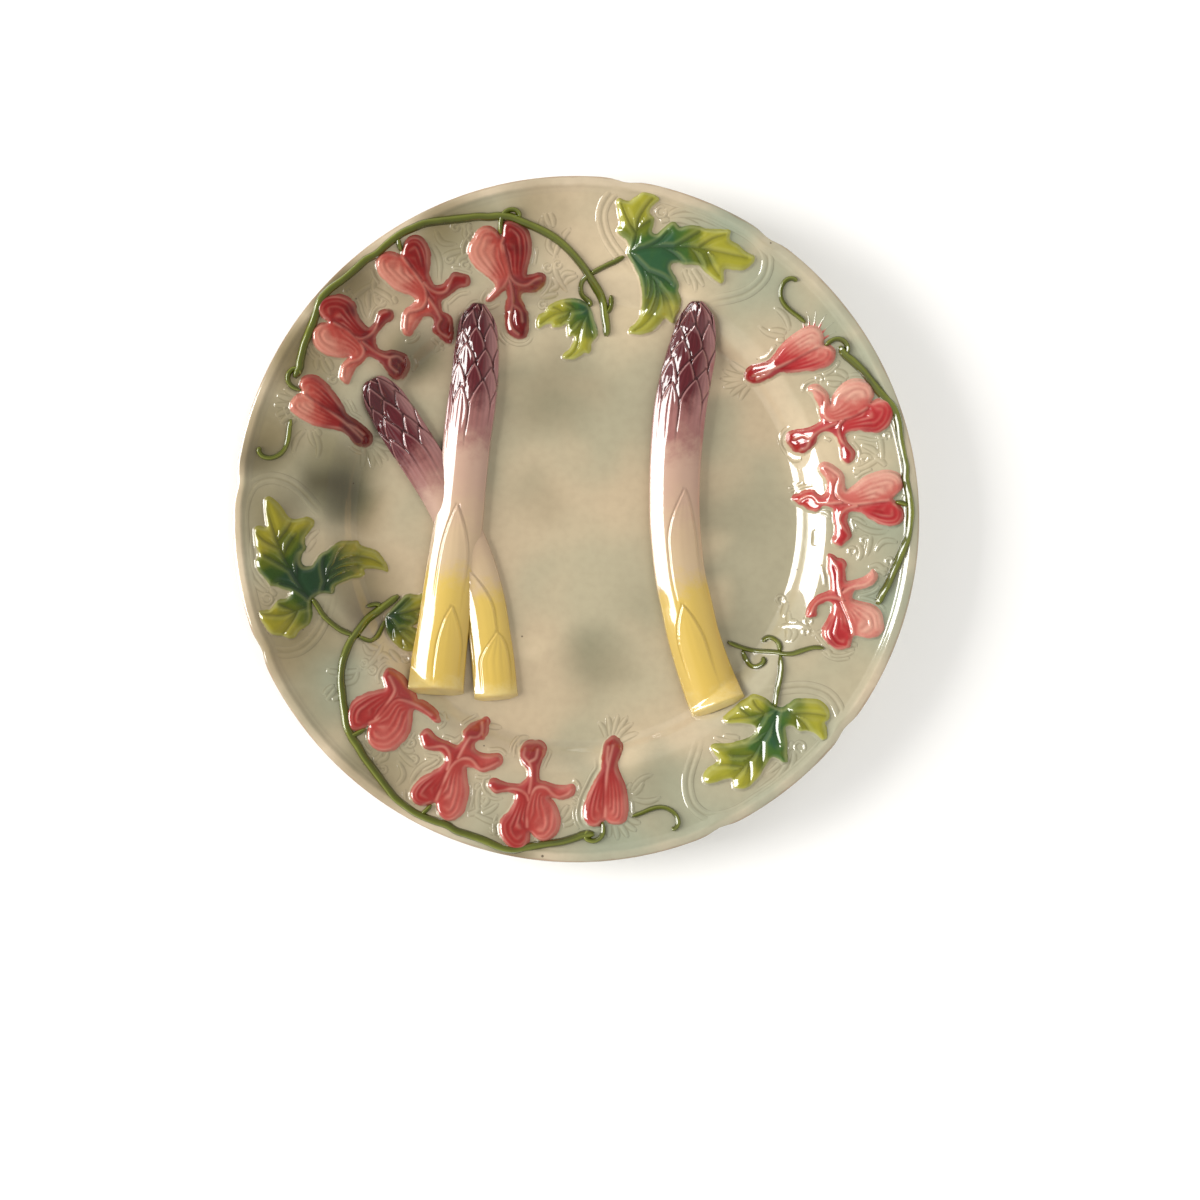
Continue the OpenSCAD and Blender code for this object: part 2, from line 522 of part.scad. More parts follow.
// The lower lobe of the bottom one meets the cut end of the front spear
module last_flower(i) {
    outlines = [top_last_flower_shares, bottom_last_flower_shares, right_last_flower_shares];
    ribs = [top_last_flower_rib_shares, bottom_last_flower_rib_shares, right_last_flower_rib_shares];
    color("indianred")
    difference() {
        in_garland(i) cushion(outlines[i], ribs[i], flower_h);
        as_cutter() front_spear();
    }
}

// The flowers hang in front of the stem
module garland_stem(i) {
    ends = [top_stem_end_shares, bottom_stem_end_shares, []];
    color("olivedrab")
    difference() {
        in_garland(i) even_line(concat(stem_shares, ends[i]), stem_w, stem_h, ridge_shares);
        as_cutter() {
            first_flower(i);
            middle_flower(i);
            last_flower(i);
        }
    }
}

module tendril(i) {
    color("olive") in_garland(i) even_line(tendril_shares, tendril_w, tendril_h, ridge_shares);
}

module cartouche_leaf(i) {
    outlines = [upper_right_leaf_shares, left_leaf_shares, lower_right_leaf_shares];
    ribs = [leaf_rib_shares, leaf_rib_shares, lower_right_leaf_rib_shares];
    color("darkseagreen") in_garland(i) cushion(outlines[i], ribs[i], leaf_h);
}

module leaf_stalk(i) {
    lines = [top_stalk_shares, bottom_stalk_shares, right_stalk_shares];
    color("olive") in_garland(i) even_line(lines[i], tendril_w, tendril_h, ridge_shares);
}

// The leaf, its stalk and the tip of a spear lie over the frame
module scroll_frame(i) {
    color("palegoldenrod")
    difference() {
        in_garland(i) even_line(scroll_shares, scroll_w, scroll_h, double_ridge_shares);
        as_cutter() {
            cartouche_leaf(i);
            leaf_stalk(i);
            right_spear();
        }
    }
}

// The left one is partly under the front spear
module leaflet(i) {
    color("darkseagreen")
    difference() {
        in_garland(i) cushion(leaflet_shares, leaflet_rib_shares, leaf_h);
        as_cutter() front_spear();
    }
}

plate_body();
front_spear();
crossing_spear();
right_spear();
for (i = [0:2]) {
    garland_stem(i);
    bud(i);
    first_flower(i);
    middle_flower(i);
    last_flower(i);
    tendril(i);
    cartouche_leaf(i);
    leaf_stalk(i);
    scroll_frame(i);
}
leaflet(0);  // upper_right_leaflet
leaflet(1);  // left_leaflet
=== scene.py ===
"""Looks of the asparagus plate: moulded, glazed earthenware with spears in its well and garlands round it."""

import logging
import math
from dataclasses import dataclass, replace
from enum import Enum
from typing import Callable

import bmesh
import bpy
import numpy as np
from mathutils import Matrix, Vector


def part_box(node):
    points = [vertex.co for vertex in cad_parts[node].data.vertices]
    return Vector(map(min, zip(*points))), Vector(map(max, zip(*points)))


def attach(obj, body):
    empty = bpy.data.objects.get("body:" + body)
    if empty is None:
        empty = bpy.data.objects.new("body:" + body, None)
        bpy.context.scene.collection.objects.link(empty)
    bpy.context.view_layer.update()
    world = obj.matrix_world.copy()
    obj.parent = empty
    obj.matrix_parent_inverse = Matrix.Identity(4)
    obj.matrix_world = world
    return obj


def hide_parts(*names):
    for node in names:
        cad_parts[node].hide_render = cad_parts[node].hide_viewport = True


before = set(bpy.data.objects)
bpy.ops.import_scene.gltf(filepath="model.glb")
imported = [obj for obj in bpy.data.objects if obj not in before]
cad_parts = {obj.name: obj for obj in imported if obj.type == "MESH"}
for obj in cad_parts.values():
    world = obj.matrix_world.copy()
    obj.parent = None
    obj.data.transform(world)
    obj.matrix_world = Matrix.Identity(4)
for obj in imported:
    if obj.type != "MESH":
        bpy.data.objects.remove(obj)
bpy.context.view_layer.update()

log = logging.getLogger("asparagus_plate")

Line = list[tuple[float, float]]
Points = np.ndarray
Place = tuple[float, float]
Triple = tuple[float, float, float]
Colour = tuple[int, int, int]
Socket = bpy.types.NodeSocket

# Relief attribute: hue along the glaze's colour range; crest, paler glaze on ridges that is partly thin glaze
# and partly a painted highlight; pool, darker glaze in hollows that is partly pooled glaze and partly painted
# shade; and the way in from the outline
GLAZE_ATTRIBUTE = "glaze"
# The way in is stored as WAY_MIDDLE at the outline, and as 1 / WAY_SPAN more for each unit inwards
WAY_MIDDLE = 0.5
WAY_SPAN = 4.0


class Garland(Enum):
    """The three garlands, each with the turn of its middle round the plate, in degrees."""

    TOP = 129.0
    BOTTOM = 249.0
    RIGHT = 9.0

    @property
    def label(self) -> str:
        """The garland's name in the names of its pieces."""
        return self.name.lower()

    @property
    def turned(self) -> float:
        """Degrees by which the drawing, whose middle is at 90, is turned for the garland."""
        return self.value - 90

    @property
    def cartouche(self) -> str:
        """The name of the cartouche at the garland's end."""
        return {"TOP": "upper_right", "BOTTOM": "left", "RIGHT": "lower_right"}[self.name]


# Shapes on the plate's drawing, in which the rim is 120 units from the middle


def smooth(points: Line, closed: bool = False, steps: int = 5) -> Points:
    """Runs a smooth curve through points.

    Args:
        points: Places that the curve goes through.
        closed: Whether the curve comes back to its first point.
        steps: Points for each span.

    Returns:
        The curve's points, one row each.
    """
    p = np.asarray(points, dtype=float)
    n = len(p)
    spans = n if closed else n - 1
    rows = []
    for i in range(spans):
        if closed:
            a, b, c, d = (p[(i + k) % n] for k in (-1, 0, 1, 2))
        else:
            a, b, c, d = (p[min(max(i + k, 0), n - 1)] for k in (-1, 0, 1, 2))
        t = np.linspace(0, 1, steps, endpoint=False)[:, None]
        rows.append(0.5 * (2 * b + (c - a) * t + (2 * a - 5 * b + 4 * c - d) * t**2
                           + (3 * b - a - 3 * c + d) * t**3))
    if not closed:
        rows.append(p[-1:])
    return np.vstack(rows)


def to_line(places: Points, line: Points) -> tuple[Points, Points]:
    """Measures places against a line.

    Args:
        places: Places, one row each.
        line: The line's points.

    Returns:
        Each place's distance to the line, and 1 where it lies left of the line or -1 where it lies right.
    """
    nearest = np.full(len(places), 1e9)
    side = np.ones(len(places))
    for a, b in zip(line[:-1], line[1:]):
        length = math.hypot(*(b - a))
        if length == 0:
            continue
        step = (b - a) / length
        out = places - a
        along = out @ step
        past = along - np.clip(along, 0, length)
        off = step[0] * out[:, 1] - step[1] * out[:, 0]
        gap = np.hypot(past, off)
        closer = gap < nearest
        nearest[closer] = gap[closer]
        side[closer] = np.sign(off[closer])
    return nearest, side


def to_lines(places: Points, lines: list[Points]) -> tuple[Points, Points]:
    """Measures places against the nearest of several lines, as to_line does against one."""
    gaps, sides = zip(*(to_line(places, line) for line in lines))
    first = np.argmin(gaps, axis=0)
    row = np.arange(len(places))
    return np.array(gaps)[first, row], np.array(sides)[first, row]


def way_in(places: Points, outline: Points) -> Points:
    """Returns how far each place is inside a closed outline, below zero outside it."""
    ring = np.vstack([outline, outline[:1]])
    gap, _ = to_line(places, ring)
    inside = np.zeros(len(places), dtype=bool)
    x, y = places[:, 0], places[:, 1]
    for (ax, ay), (bx, by) in zip(ring[:-1], ring[1:]):
        if ay == by:
            continue
        crosses = (ay > y) != (by > y)
        inside ^= crosses & (x < (bx - ax) * (y - ay) / (by - ay) + ax)
    return np.where(inside, gap, -gap)


def ease(low: float, high: float, value: Points) -> Points:
    """Returns a smooth step from 0 at low to 1 at high."""
    t = np.clip((value - low) / (high - low), 0, 1)
    return t * t * (3 - 2 * t)


def bell(distance: Points, width: float) -> Points:
    """Returns 1 at no distance, falling smoothly to nothing over the width."""
    return np.exp(-((distance / width) ** 2))


def dome(value: Points) -> Points:
    """Returns a rounded shoulder that rises steeply from 0 and levels out at 1."""
    t = np.clip(value, 0, 1)
    return np.sqrt(1 - (1 - t) ** 2)


def stored_way(inward: Points) -> Points:
    """Returns a way in from an outline as the glaze's attribute holds it."""
    return WAY_MIDDLE + inward / WAY_SPAN


def stations_of(line: Points) -> Points:
    """Returns how far along a line each of its points is."""
    return np.concatenate([[0], np.cumsum(np.hypot(*np.diff(line, axis=0).T))])


def length_of(line: Points) -> float:
    """Returns the length of a line."""
    return float(np.hypot(*np.diff(line, axis=0).T).sum())


def from_ends(along: Points, length: float) -> Points:
    """Returns how far places along a line, 0 to 1, are from its nearer end."""
    return np.minimum(along, 1 - along) * length


def ripple(places: Points, size: float, seed: int) -> Points:
    """Returns a soft unevenness about zero, made of a few waves.

    Args:
        places: Places, one row each.
        size: The usual width of a wave.
        seed: Which unevenness.
    """
    random = np.random.default_rng(seed)
    waves = 6
    total = np.zeros(len(places))
    for _ in range(waves):
        turn = random.uniform(0, math.tau)
        rate = math.tau / (size * random.uniform(0.7, 1.6))
        total += np.sin(rate * (places @ [math.cos(turn), math.sin(turn)]) + random.uniform(0, math.tau))
    return total / waves


def echoes(outline: Points, gap: float, seed: int, level: float, wave: float = 16.0,
           clear: float = 0.93, least: int = 8) -> list[Points]:
    """Returns pieces of a line that runs round an outline.

    Args:
        outline: The closed outline, anticlockwise.
        gap: How far outside it the line runs.
        seed: Which pieces are left out.
        level: How much is left out, from -1 to 1.
        wave: The usual length of a piece.
        clear: The share of the gap that stays free of the rest of the outline.
        least: A piece with this many points or fewer is left out.
    """
    ahead = np.roll(outline, -2, axis=0) - np.roll(outline, 2, axis=0)
    away = np.column_stack([ahead[:, 1], -ahead[:, 0]]) / np.maximum(np.hypot(*ahead.T), 1e-6)[:, None]
    line = outline + away * gap
    if way_in(line, outline).mean() > 0:
        line = outline - away * gap
    kept = (way_in(line, outline) < -clear * gap) & (ripple(line, wave, seed) > level)
    pieces, piece = [], []
    for point, free in zip([*line, line[-1]], [*kept, False]):
        if free:
            piece.append(point)
            continue
        if len(piece) > least:
            pieces.append(np.array(piece))
        piece = []
    return pieces


@dataclass
class PlateForm:
    """The plate's turned form, in drawing units, and its scale in the frame."""

    scale: float
    height: float
    rim_r: float = 120.0
    well_r: float = 78.0
    side_w: float = 12.0
    side_h: float = 9.0
    side_bend: float = 0.74
    floor_z: float = 8.0
    floor_wall: float = 5.0
    rim_wall: float = 3.2
    lip_w: float = 2.6
    lip_rise: float = 0.7
    lip_round: float = 2.4
    lip_start: float = 114.4
    lip_step: float = 0.3
    lip_step_w: float = 1.2
    foot_r: float = 64.0
    foot_w: float = 4.0
    foot_h: float = 3.0
    foot_fillet: float = 1.0
    foot_flare: Place = (0.45, 0.55)
    foot_side: Place = (0.1, 0.6)
    foot_bevel: Place = (-0.25, 0.12)
    foot_inset: float = -0.7
    dips: tuple[float, ...] = (55.5, 81.5, 174.0, 202.5, 295.0, 322.0)
    dip_depth: float = 1.0
    dip_width: float = 4.2
    face_cell: float = 3.0
    side_cell: float = 0.6
    lip_cell: float = 0.35
    back_cell: float = 1.5
    base_cell: float = 4.0

    @classmethod
    def from_frame(cls) -> "PlateForm":
        """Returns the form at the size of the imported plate."""
        low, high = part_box("plate_body")
        scale = (high[0] - low[0]) / (2 * cls.rim_r)
        return cls(scale=scale, height=(high[2] - low[2]) / scale)

    @property
    def lip_z(self) -> float:
        """Height of the middle of the rounded lip."""
        return self.height - self.lip_w / 2

    @property
    def crown_r(self) -> float:
        """Distance from the axis of the top of the lip."""
        return self.rim_r - self.lip_round

    @property
    def flange_r(self) -> float:
        """Distance from the axis at which the well's side meets the flange."""
        return self.well_r + self.side_w

    @property
    def slope(self) -> float:
        """Rise of the flange for each unit outwards."""
        run = self.rim_r - self.lip_w / 2 - self.flange_r
        return (self.lip_z - self.floor_z - self.side_h) / run

    def ground(self, radius: Points) -> Points:
        """Returns the height of the plate's upper face, without its lip, at distances from the axis."""
        t = np.clip((radius - self.well_r) / self.side_w, 0, 1) ** self.side_bend
        side = t * t * (3 - 2 * t) * self.side_h + t * t * (t - 1) * self.slope * self.side_w
        return self.floor_z + side + np.maximum(radius - self.flange_r, 0) * self.slope

    def ground_at(self, radius: float) -> float:
        """Returns the height of the upper face, without its lip, at one distance from the axis."""
        return float(self.ground(np.array([radius]))[0])

    def rim_shift(self, turn: Points) -> Points:
        """Returns how far the rim stands in from its full radius, at turns in radians."""
        shift = np.zeros(len(turn))
        for dip in self.dips:
            gap = (turn - math.radians(dip) + math.pi) % math.tau - math.pi
            shift += self.dip_depth * bell(gap * self.rim_r, self.dip_width)
        return shift

    def profile(self) -> list[Place]:
        """Returns the section from the middle of the well over the rim to the middle of the underside."""
        return [*self.upper_face(), *self.rim(), *self.back(), *self.foot()]

    def upper_face(self) -> list[Place]:
        """Returns the section of the upper face, from its middle to the top of the lip."""
        radii = [*np.arange(0, self.well_r, self.face_cell),
                 *np.arange(self.well_r, self.lip_start, self.side_cell)]
        face = [(r, self.ground_at(r)) for r in radii]
        crown = self.lip_z + self.lip_rise
        step_end = self.lip_start + self.lip_step_w
        for r in np.arange(self.lip_start, self.crown_r, self.lip_cell):
            low = self.ground_at(r)
            step = self.lip_step * float(ease(self.lip_start, step_end, r))
            roll = (crown - low - self.lip_step) * float(ease(step_end, self.crown_r, r))
            face.append((float(r), low + step + roll))
        return face

    def rim(self) -> list[Place]:
        """Returns the section of the rounded rim, from the top of the lip to the underside."""
        edge = self.rim_wall / 2
        bead = [(self.crown_r + self.lip_round * math.cos(a), self.lip_z + self.lip_rise * math.sin(a))
                for a in np.radians(np.arange(90, -1, -10))]
        under = [(self.rim_r - edge + edge * math.cos(a), self.lip_z - edge + edge * math.sin(a))
                 for a in np.radians(np.arange(-15, -91, -15))]
        return [*bead, *under]

    def back(self) -> list[Place]:
        """Returns the section of the underside, from the rim to the foot ring."""
        thinning = (self.floor_wall - self.rim_wall) / (self.rim_r - self.rim_wall / 2 - self.flange_r)
        start = self.rim_r - 2 * self.back_cell
        end = self.foot_r + self.foot_fillet + self.back_cell / 3
        back = []
        for r in np.arange(start, end, -self.back_cell):
            wall = self.floor_wall - thinning * max(r - self.flange_r, 0)
            back.append((float(r), self.ground_at(r) - wall))
        return back

    def foot(self) -> list[Place]:
        """Returns the section of the foot ring, rounded alike on both sides, and of the base inside it."""
        flare, drop = self.foot_flare
        rounding = [(self.foot_fillet, self.foot_h), (flare, self.foot_h - drop),
                    self.foot_side, self.foot_bevel, (self.foot_inset, 0.0)]
        inner_r = self.foot_r - self.foot_w
        outer_side = [(self.foot_r + out, z) for out, z in rounding]
        inner_side = [(inner_r - out, z) for out, z in reversed(rounding)]
        start = inner_r - self.base_cell + self.foot_fillet
        base = [(float(r), self.foot_h) for r in np.arange(start, 0, -self.base_cell)]
        return [*outer_side, *inner_side, *base, (0.0, self.foot_h)]

    def stand(self, places: Points, rise: Points, turn: float = 0.0) -> Points:
        """Stands places of the drawing on the plate.

        Args:
            places: Places, one row each.
            rise: Their heights over the ground.
            turn: Degrees by which the drawing is turned round the plate.

        Returns:
            The places in the frame, in metres.
        """
        c, s = math.cos(math.radians(turn)), math.sin(math.radians(turn))
        x = places[:, 0] * c - places[:, 1] * s
        y = places[:, 0] * s + places[:, 1] * c
        z = self.ground(np.hypot(x, y)) + rise
        return np.column_stack([x, y, z]) * self.scale


# Meshes


@dataclass(frozen=True)
class Glaze:
    """A glaze that is ready to use: the record's material slot that it fills, and its material."""

    slot: str
    material: bpy.types.Material


def new_piece(name: str, bm: bmesh.types.BMesh, glaze: Glaze,
              replaces: str | None = None) -> bpy.types.Object:
    """Makes an object of the plate from a finished bmesh, which it frees.

    Args:
        name: The piece's name.
        bm: Its mesh.
        glaze: Its glaze.
        replaces: The node that it stands for.

    Returns:
        The object, which rides on the plate.
    """
    mesh = bpy.data.meshes.new(name)
    bm.to_mesh(mesh)
    bm.free()
    mesh.shade_smooth()
    mesh.materials.append(glaze.material)
    piece = bpy.data.objects.new(name, mesh)
    bpy.context.collection.objects.link(piece)
    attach(piece, "root")
    if replaces:
        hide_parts(replaces)
    log.info("%s: %d vertices", name, len(mesh.vertices))
    return piece


def place_vertices(piece: bpy.types.Object, places: Points, tones: Points) -> None:
    """Moves a piece's vertices to their places and stores the tones of its glaze.

    Args:
        piece: The piece.
        places: A place in metres for each vertex.
        tones: Four values from 0 to 1 for each vertex.
    """
    mesh = piece.data
    mesh.vertices.foreach_set("co", places.astype(np.float32).ravel())
    attribute = mesh.color_attributes.new(name=GLAZE_ATTRIBUTE, type="FLOAT_COLOR", domain="POINT")
    attribute.data.foreach_set("color", np.clip(tones, 0, 1).astype(np.float32).ravel())
    mesh.update()


def close_sheet(bm: bmesh.types.BMesh, faces: list[bmesh.types.BMFace]) -> None:
    """Gives an open sheet an upper copy of itself, one unit higher, and walls between the two."""
    made = bmesh.ops.extrude_face_region(bm, geom=faces, use_keep_orig=True)["geom"]
    bmesh.ops.translate(bm, verts=[g for g in made if isinstance(g, bmesh.types.BMVert)], vec=(0, 0, 1))


Relief = Callable[[Points, Points], tuple[Points, Points]]
Section = Callable[[Points, Points], Points]


@dataclass
class PatchBuilder:
    """Makes relief that fills an outline, as a fine sheet that sinks into the ground round the outline."""

    plate: PlateForm
    smear: Place = (0.0, 0.0)
    step: float = 0.3
    margin: float = 0.9
    root: float = 0.9
    skirt_rise: float = 0.22
    skirt_w: float = 0.5
    skirt_drop: float = 0.2
    skirt_end: Place = (0.45, 0.9)
    shoulder_w: float = 0.6

    def build(self, name: str, outline: Points, relief: Relief, glaze: Glaze, turn: float,
              replaces: str | None = None) -> bpy.types.Object:
        """Builds one piece of relief.

        Args:
            name: The piece's name.
            outline: Its closed outline on the drawing.
            relief: Gives the rise and the tones of places from the places and their way in.
            glaze: Its glaze.
            turn: Degrees by which the drawing is turned.
            replaces: The node that it stands for.

        Returns:
            The piece.
        """
        low = outline.min(axis=0) - 2 * self.margin
        span = outline.max(axis=0) - outline.min(axis=0) + 4 * self.margin
        counts = np.ceil(span / self.step).astype(int)
        xs, ys = np.meshgrid(np.arange(counts[0] + 1), np.arange(counts[1] + 1), indexing="ij")
        places = low + self.step * np.column_stack([xs.ravel(), ys.ravel()])
        inward = way_in(places, outline)
        kept = inward > -self.margin
        bm = bmesh.new()
        size = Matrix.Diagonal((counts[0] / 2, counts[1] / 2, 1, 1))
        middle = Matrix.Translation((counts[0] / 2, counts[1] / 2, 0))
        bmesh.ops.create_grid(bm, x_segments=int(counts[0]), y_segments=int(counts[1]), size=1,
                              matrix=middle @ size)

        def index(vert: bmesh.types.BMVert) -> int:
            """Returns the place that a vertex of the grid stands for."""
            return round(vert.co.x) * (counts[1] + 1) + round(vert.co.y)

        bmesh.ops.delete(bm, geom=[v for v in bm.verts if not kept[index(v)]], context="VERTS")
        loose = [v for v in bm.verts if not v.link_faces]
        bmesh.ops.delete(bm, geom=loose, context="VERTS")
        close_sheet(bm, bm.faces[:])
        rows = np.array([index(v) for v in bm.verts])
        upper = np.array([v.co.z > 0.5 for v in bm.verts])
        rise, tones = relief(places, inward)
        rise = self.sunk(rise, inward)
        across, along = np.gradient(inward.reshape(counts + 1), self.step)
        painted = inward - across.ravel() * self.smear[0] - along.ravel() * self.smear[1]
        tones = np.column_stack([tones, stored_way(painted)])
        heights = np.where(upper, rise[rows], np.minimum(rise[rows], 0) - self.root)
        spots = self.plate.stand(places[rows], heights, turn)
        for vert, spot in zip(bm.verts, spots):
            vert.co = spot
        bmesh.ops.recalc_face_normals(bm, faces=bm.faces[:])
        piece = new_piece(name, bm, glaze, replaces)
        place_vertices(piece, spots, tones[rows])
        return piece

    def sunk(self, rise: Points, inward: Points) -> Points:
        """Rounds relief over at its outline and lets it run out into the ground beyond it.

        Args:
            rise: Heights over the ground.
            inward: The way in from the outline.

        Returns:
            The new heights.
        """
        skirt = self.skirt_rise * bell(np.minimum(inward, 0), self.skirt_w)
        skirt = skirt - self.skirt_drop * ease(*self.skirt_end, -inward)
        over = np.maximum(rise, 0) + self.skirt_rise * (1 - ease(0, self.shoulder_w, inward))
        return np.where(inward > 0, over, skirt)


@dataclass
class RidgeBuilder:
    """Makes relief that follows a line, as a strip whose edges sink into the ground."""

    plate: PlateForm
    step: float
    across: int
    root: float = 0.7

    def build(self, name: str, lines: list[Points], widths: list[Points], rise: Section, tones: Section,
              glaze: Glaze, turn: float, replaces: str | None = None) -> bpy.types.Object:
        """Builds ridges along lines, as one piece.

        Args:
            name: The piece's name.
            lines: The lines that they follow.
            widths: Half the width at each point of each line.
            rise: Gives heights from places along the line, 0 to 1, and across it, -1 to 1.
            tones: Gives the glaze's tones from the same.
            glaze: Its glaze.
            turn: Degrees by which the drawing is turned.
            replaces: The node that it stands for.

        Returns:
            The piece.
        """
        bm = bmesh.new()
        strips = [self.strip(bm, line, width) for line, width in zip(lines, widths)]
        place, along, across, top = (np.concatenate(part) for part in zip(*strips))
        spots = self.plate.stand(place, np.where(top, rise(along, across), -self.root), turn)
        bmesh.ops.recalc_face_normals(bm, faces=bm.faces[:])
        piece = new_piece(name, bm, glaze, replaces)
        place_vertices(piece, spots, tones(along, across))
        return piece

    def strip(self, bm: bmesh.types.BMesh, line: Points,
              widths: Points) -> tuple[Points, Points, Points, Points]:
        """Adds a closed strip along a line to a bmesh, and says where each vertex belongs.

        Args:
            bm: The bmesh.
            line: The line's points.
            widths: Half the width at each point.

        Returns:
            For each vertex its place, how far along and across it is, and whether it is on top.
        """
        lengths = stations_of(line)
        count = max(int(lengths[-1] / self.step), 3)
        stations = np.linspace(0, lengths[-1], count + 1)
        middle = np.column_stack([np.interp(stations, lengths, line[:, k]) for k in (0, 1)])
        half = np.interp(stations, lengths, widths)
        ahead = np.gradient(middle, axis=0)
        ahead /= np.hypot(*ahead.T)[:, None]
        side = np.column_stack([ahead[:, 1], -ahead[:, 0]])
        first = len(bm.verts)
        grid = Matrix.Translation((count / 2, 0, 0)) @ Matrix.Diagonal((count / 2, 1, 1, 1))
        made = bmesh.ops.create_grid(bm, x_segments=count, y_segments=self.across, size=1, matrix=grid)
        close_sheet(bm, list({f for v in made["verts"] for f in v.link_faces}))
        cells = np.array([v.co for v in bm.verts])[first:]
        u = np.round(cells[:, 0]).astype(int)
        place = middle[u] + side[u] * (half[u] * cells[:, 1])[:, None]
        return place, u / count, cells[:, 1], cells[:, 2] > 0.5


# Glazes


class Nodes:
    """Adds and joins shader nodes in a tree."""

    def __init__(self, tree: bpy.types.NodeTree) -> None:
        """Keeps the tree.

        Args:
            tree: The tree that the nodes go into.
        """
        self.tree = tree

    def add(self, kind: str, inputs: dict | None = None, **settings: object) -> bpy.types.Node:
        """Adds a node.

        Args:
            kind: The node's type, without its first word.
            inputs: Values or sockets for its inputs, by name or number.
            settings: Values for its properties.

        Returns:
            The node.
        """
        node = self.tree.nodes.new("ShaderNode" + kind)
        for key, value in settings.items():
            setattr(node, key, value)
        for key, value in (inputs or {}).items():
            if isinstance(value, Socket):
                self.tree.links.new(value, node.inputs[key])
            else:
                node.inputs[key].default_value = value
        return node

    def math(self, operation: str, a: object, b: object = 0.0, c: object = 0.0) -> Socket:
        """Adds a Math node and returns its value."""
        return self.add("Math", {0: a, 1: b, 2: c}, operation=operation).outputs[0]

    def put_out(self, values: dict[str, Socket]) -> None:
        """Adds a group's output node and joins values to it by name."""
        out = self.tree.nodes.new("NodeGroupOutput")
        for name, value in values.items():
            self.tree.links.new(value, out.inputs[name])

    def swing(self, value: object, reach: object) -> Socket:
        """Adds a value from 0 to 1 that is moved about zero and stretched to a reach, and returns it."""
        return self.math("MULTIPLY", self.math("SUBTRACT", value, 0.5), reach)

    def vector(self, operation: str, a: object, b: object, c: object = (0.0, 0.0, 0.0)) -> Socket:
        """Adds a Vector Math node and returns its vector."""
        return self.add("VectorMath", {0: a, 1: b, 2: c}, operation=operation).outputs[0]

    def length(self, a: object) -> Socket:
        """Adds the length of a vector and returns it."""
        return self.add("VectorMath", {0: a}, operation="LENGTH").outputs["Value"]

    def drawing_place(self, scale: float) -> Socket:
        """Adds the place in drawing units, of scale metres each, and returns it."""
        here = self.add("TexCoord").outputs["Object"]
        return self.add("VectorMath", {0: here, "Scale": 1 / scale}, operation="SCALE").outputs[0]

    def ramp(self, value: object, low: object, high: object, top: float = 1.0) -> Socket:
        """Adds a smooth step from 0 where a value is low to the top where it is high, and returns it."""
        node = self.add("MapRange", {"Value": value, "From Min": low, "From Max": high, "To Max": top},
                        interpolation_type="SMOOTHSTEP")
        return node.outputs[0]

    def mix(self, factor: object, a: object, b: object) -> Socket:
        """Adds a mix of two colours and returns it."""
        return self.add("Mix", {0: factor, 6: a, 7: b}, data_type="RGBA").outputs[2]

    def noise(self, place: Socket, scale: float, detail: float = 3.0, roughness: float = 0.5) -> Socket:
        """Adds a noise and returns its value."""
        inputs = {"Vector": place, "Scale": scale, "Detail": detail, "Roughness": roughness}
        return self.add("TexNoise", inputs).outputs["Fac"]


def start_group(name: str, takes: tuple[str, ...], gives: dict[str, str]) -> tuple[Nodes, bpy.types.Node]:
    """Starts a shader node group.

    Args:
        name: Its name.
        takes: The names of the values that it takes.
        gives: What it puts out, each with its kind of socket.

    Returns:
        Its nodes, and the one that holds what it takes.
    """
    tree = bpy.data.node_groups.new(name, "ShaderNodeTree")
    for socket in takes:
        tree.interface.new_socket(socket, in_out="INPUT", socket_type="NodeSocketFloat")
    for socket, kind in gives.items():
        tree.interface.new_socket(socket, in_out="OUTPUT", socket_type="NodeSocket" + kind)
    return Nodes(tree), tree.nodes.new("NodeGroupInput")


def linear(rgb: Colour) -> tuple[float, float, float, float]:
    """Returns a colour seen as 0 to 255 in the shader's own terms."""
    parts = [c / 255 for c in rgb]
    return (*[p / 12.92 if p < 0.04045 else ((p + 0.055) / 1.055) ** 2.4 for p in parts], 1.0)


@dataclass(frozen=True)
class Cloud:
    """A soft cloud of colour in the ground's glaze; some of them are painted light and some painted shade."""

    x: float
    y: float
    radius: float
    strength: float
    stretch: float = 1.0


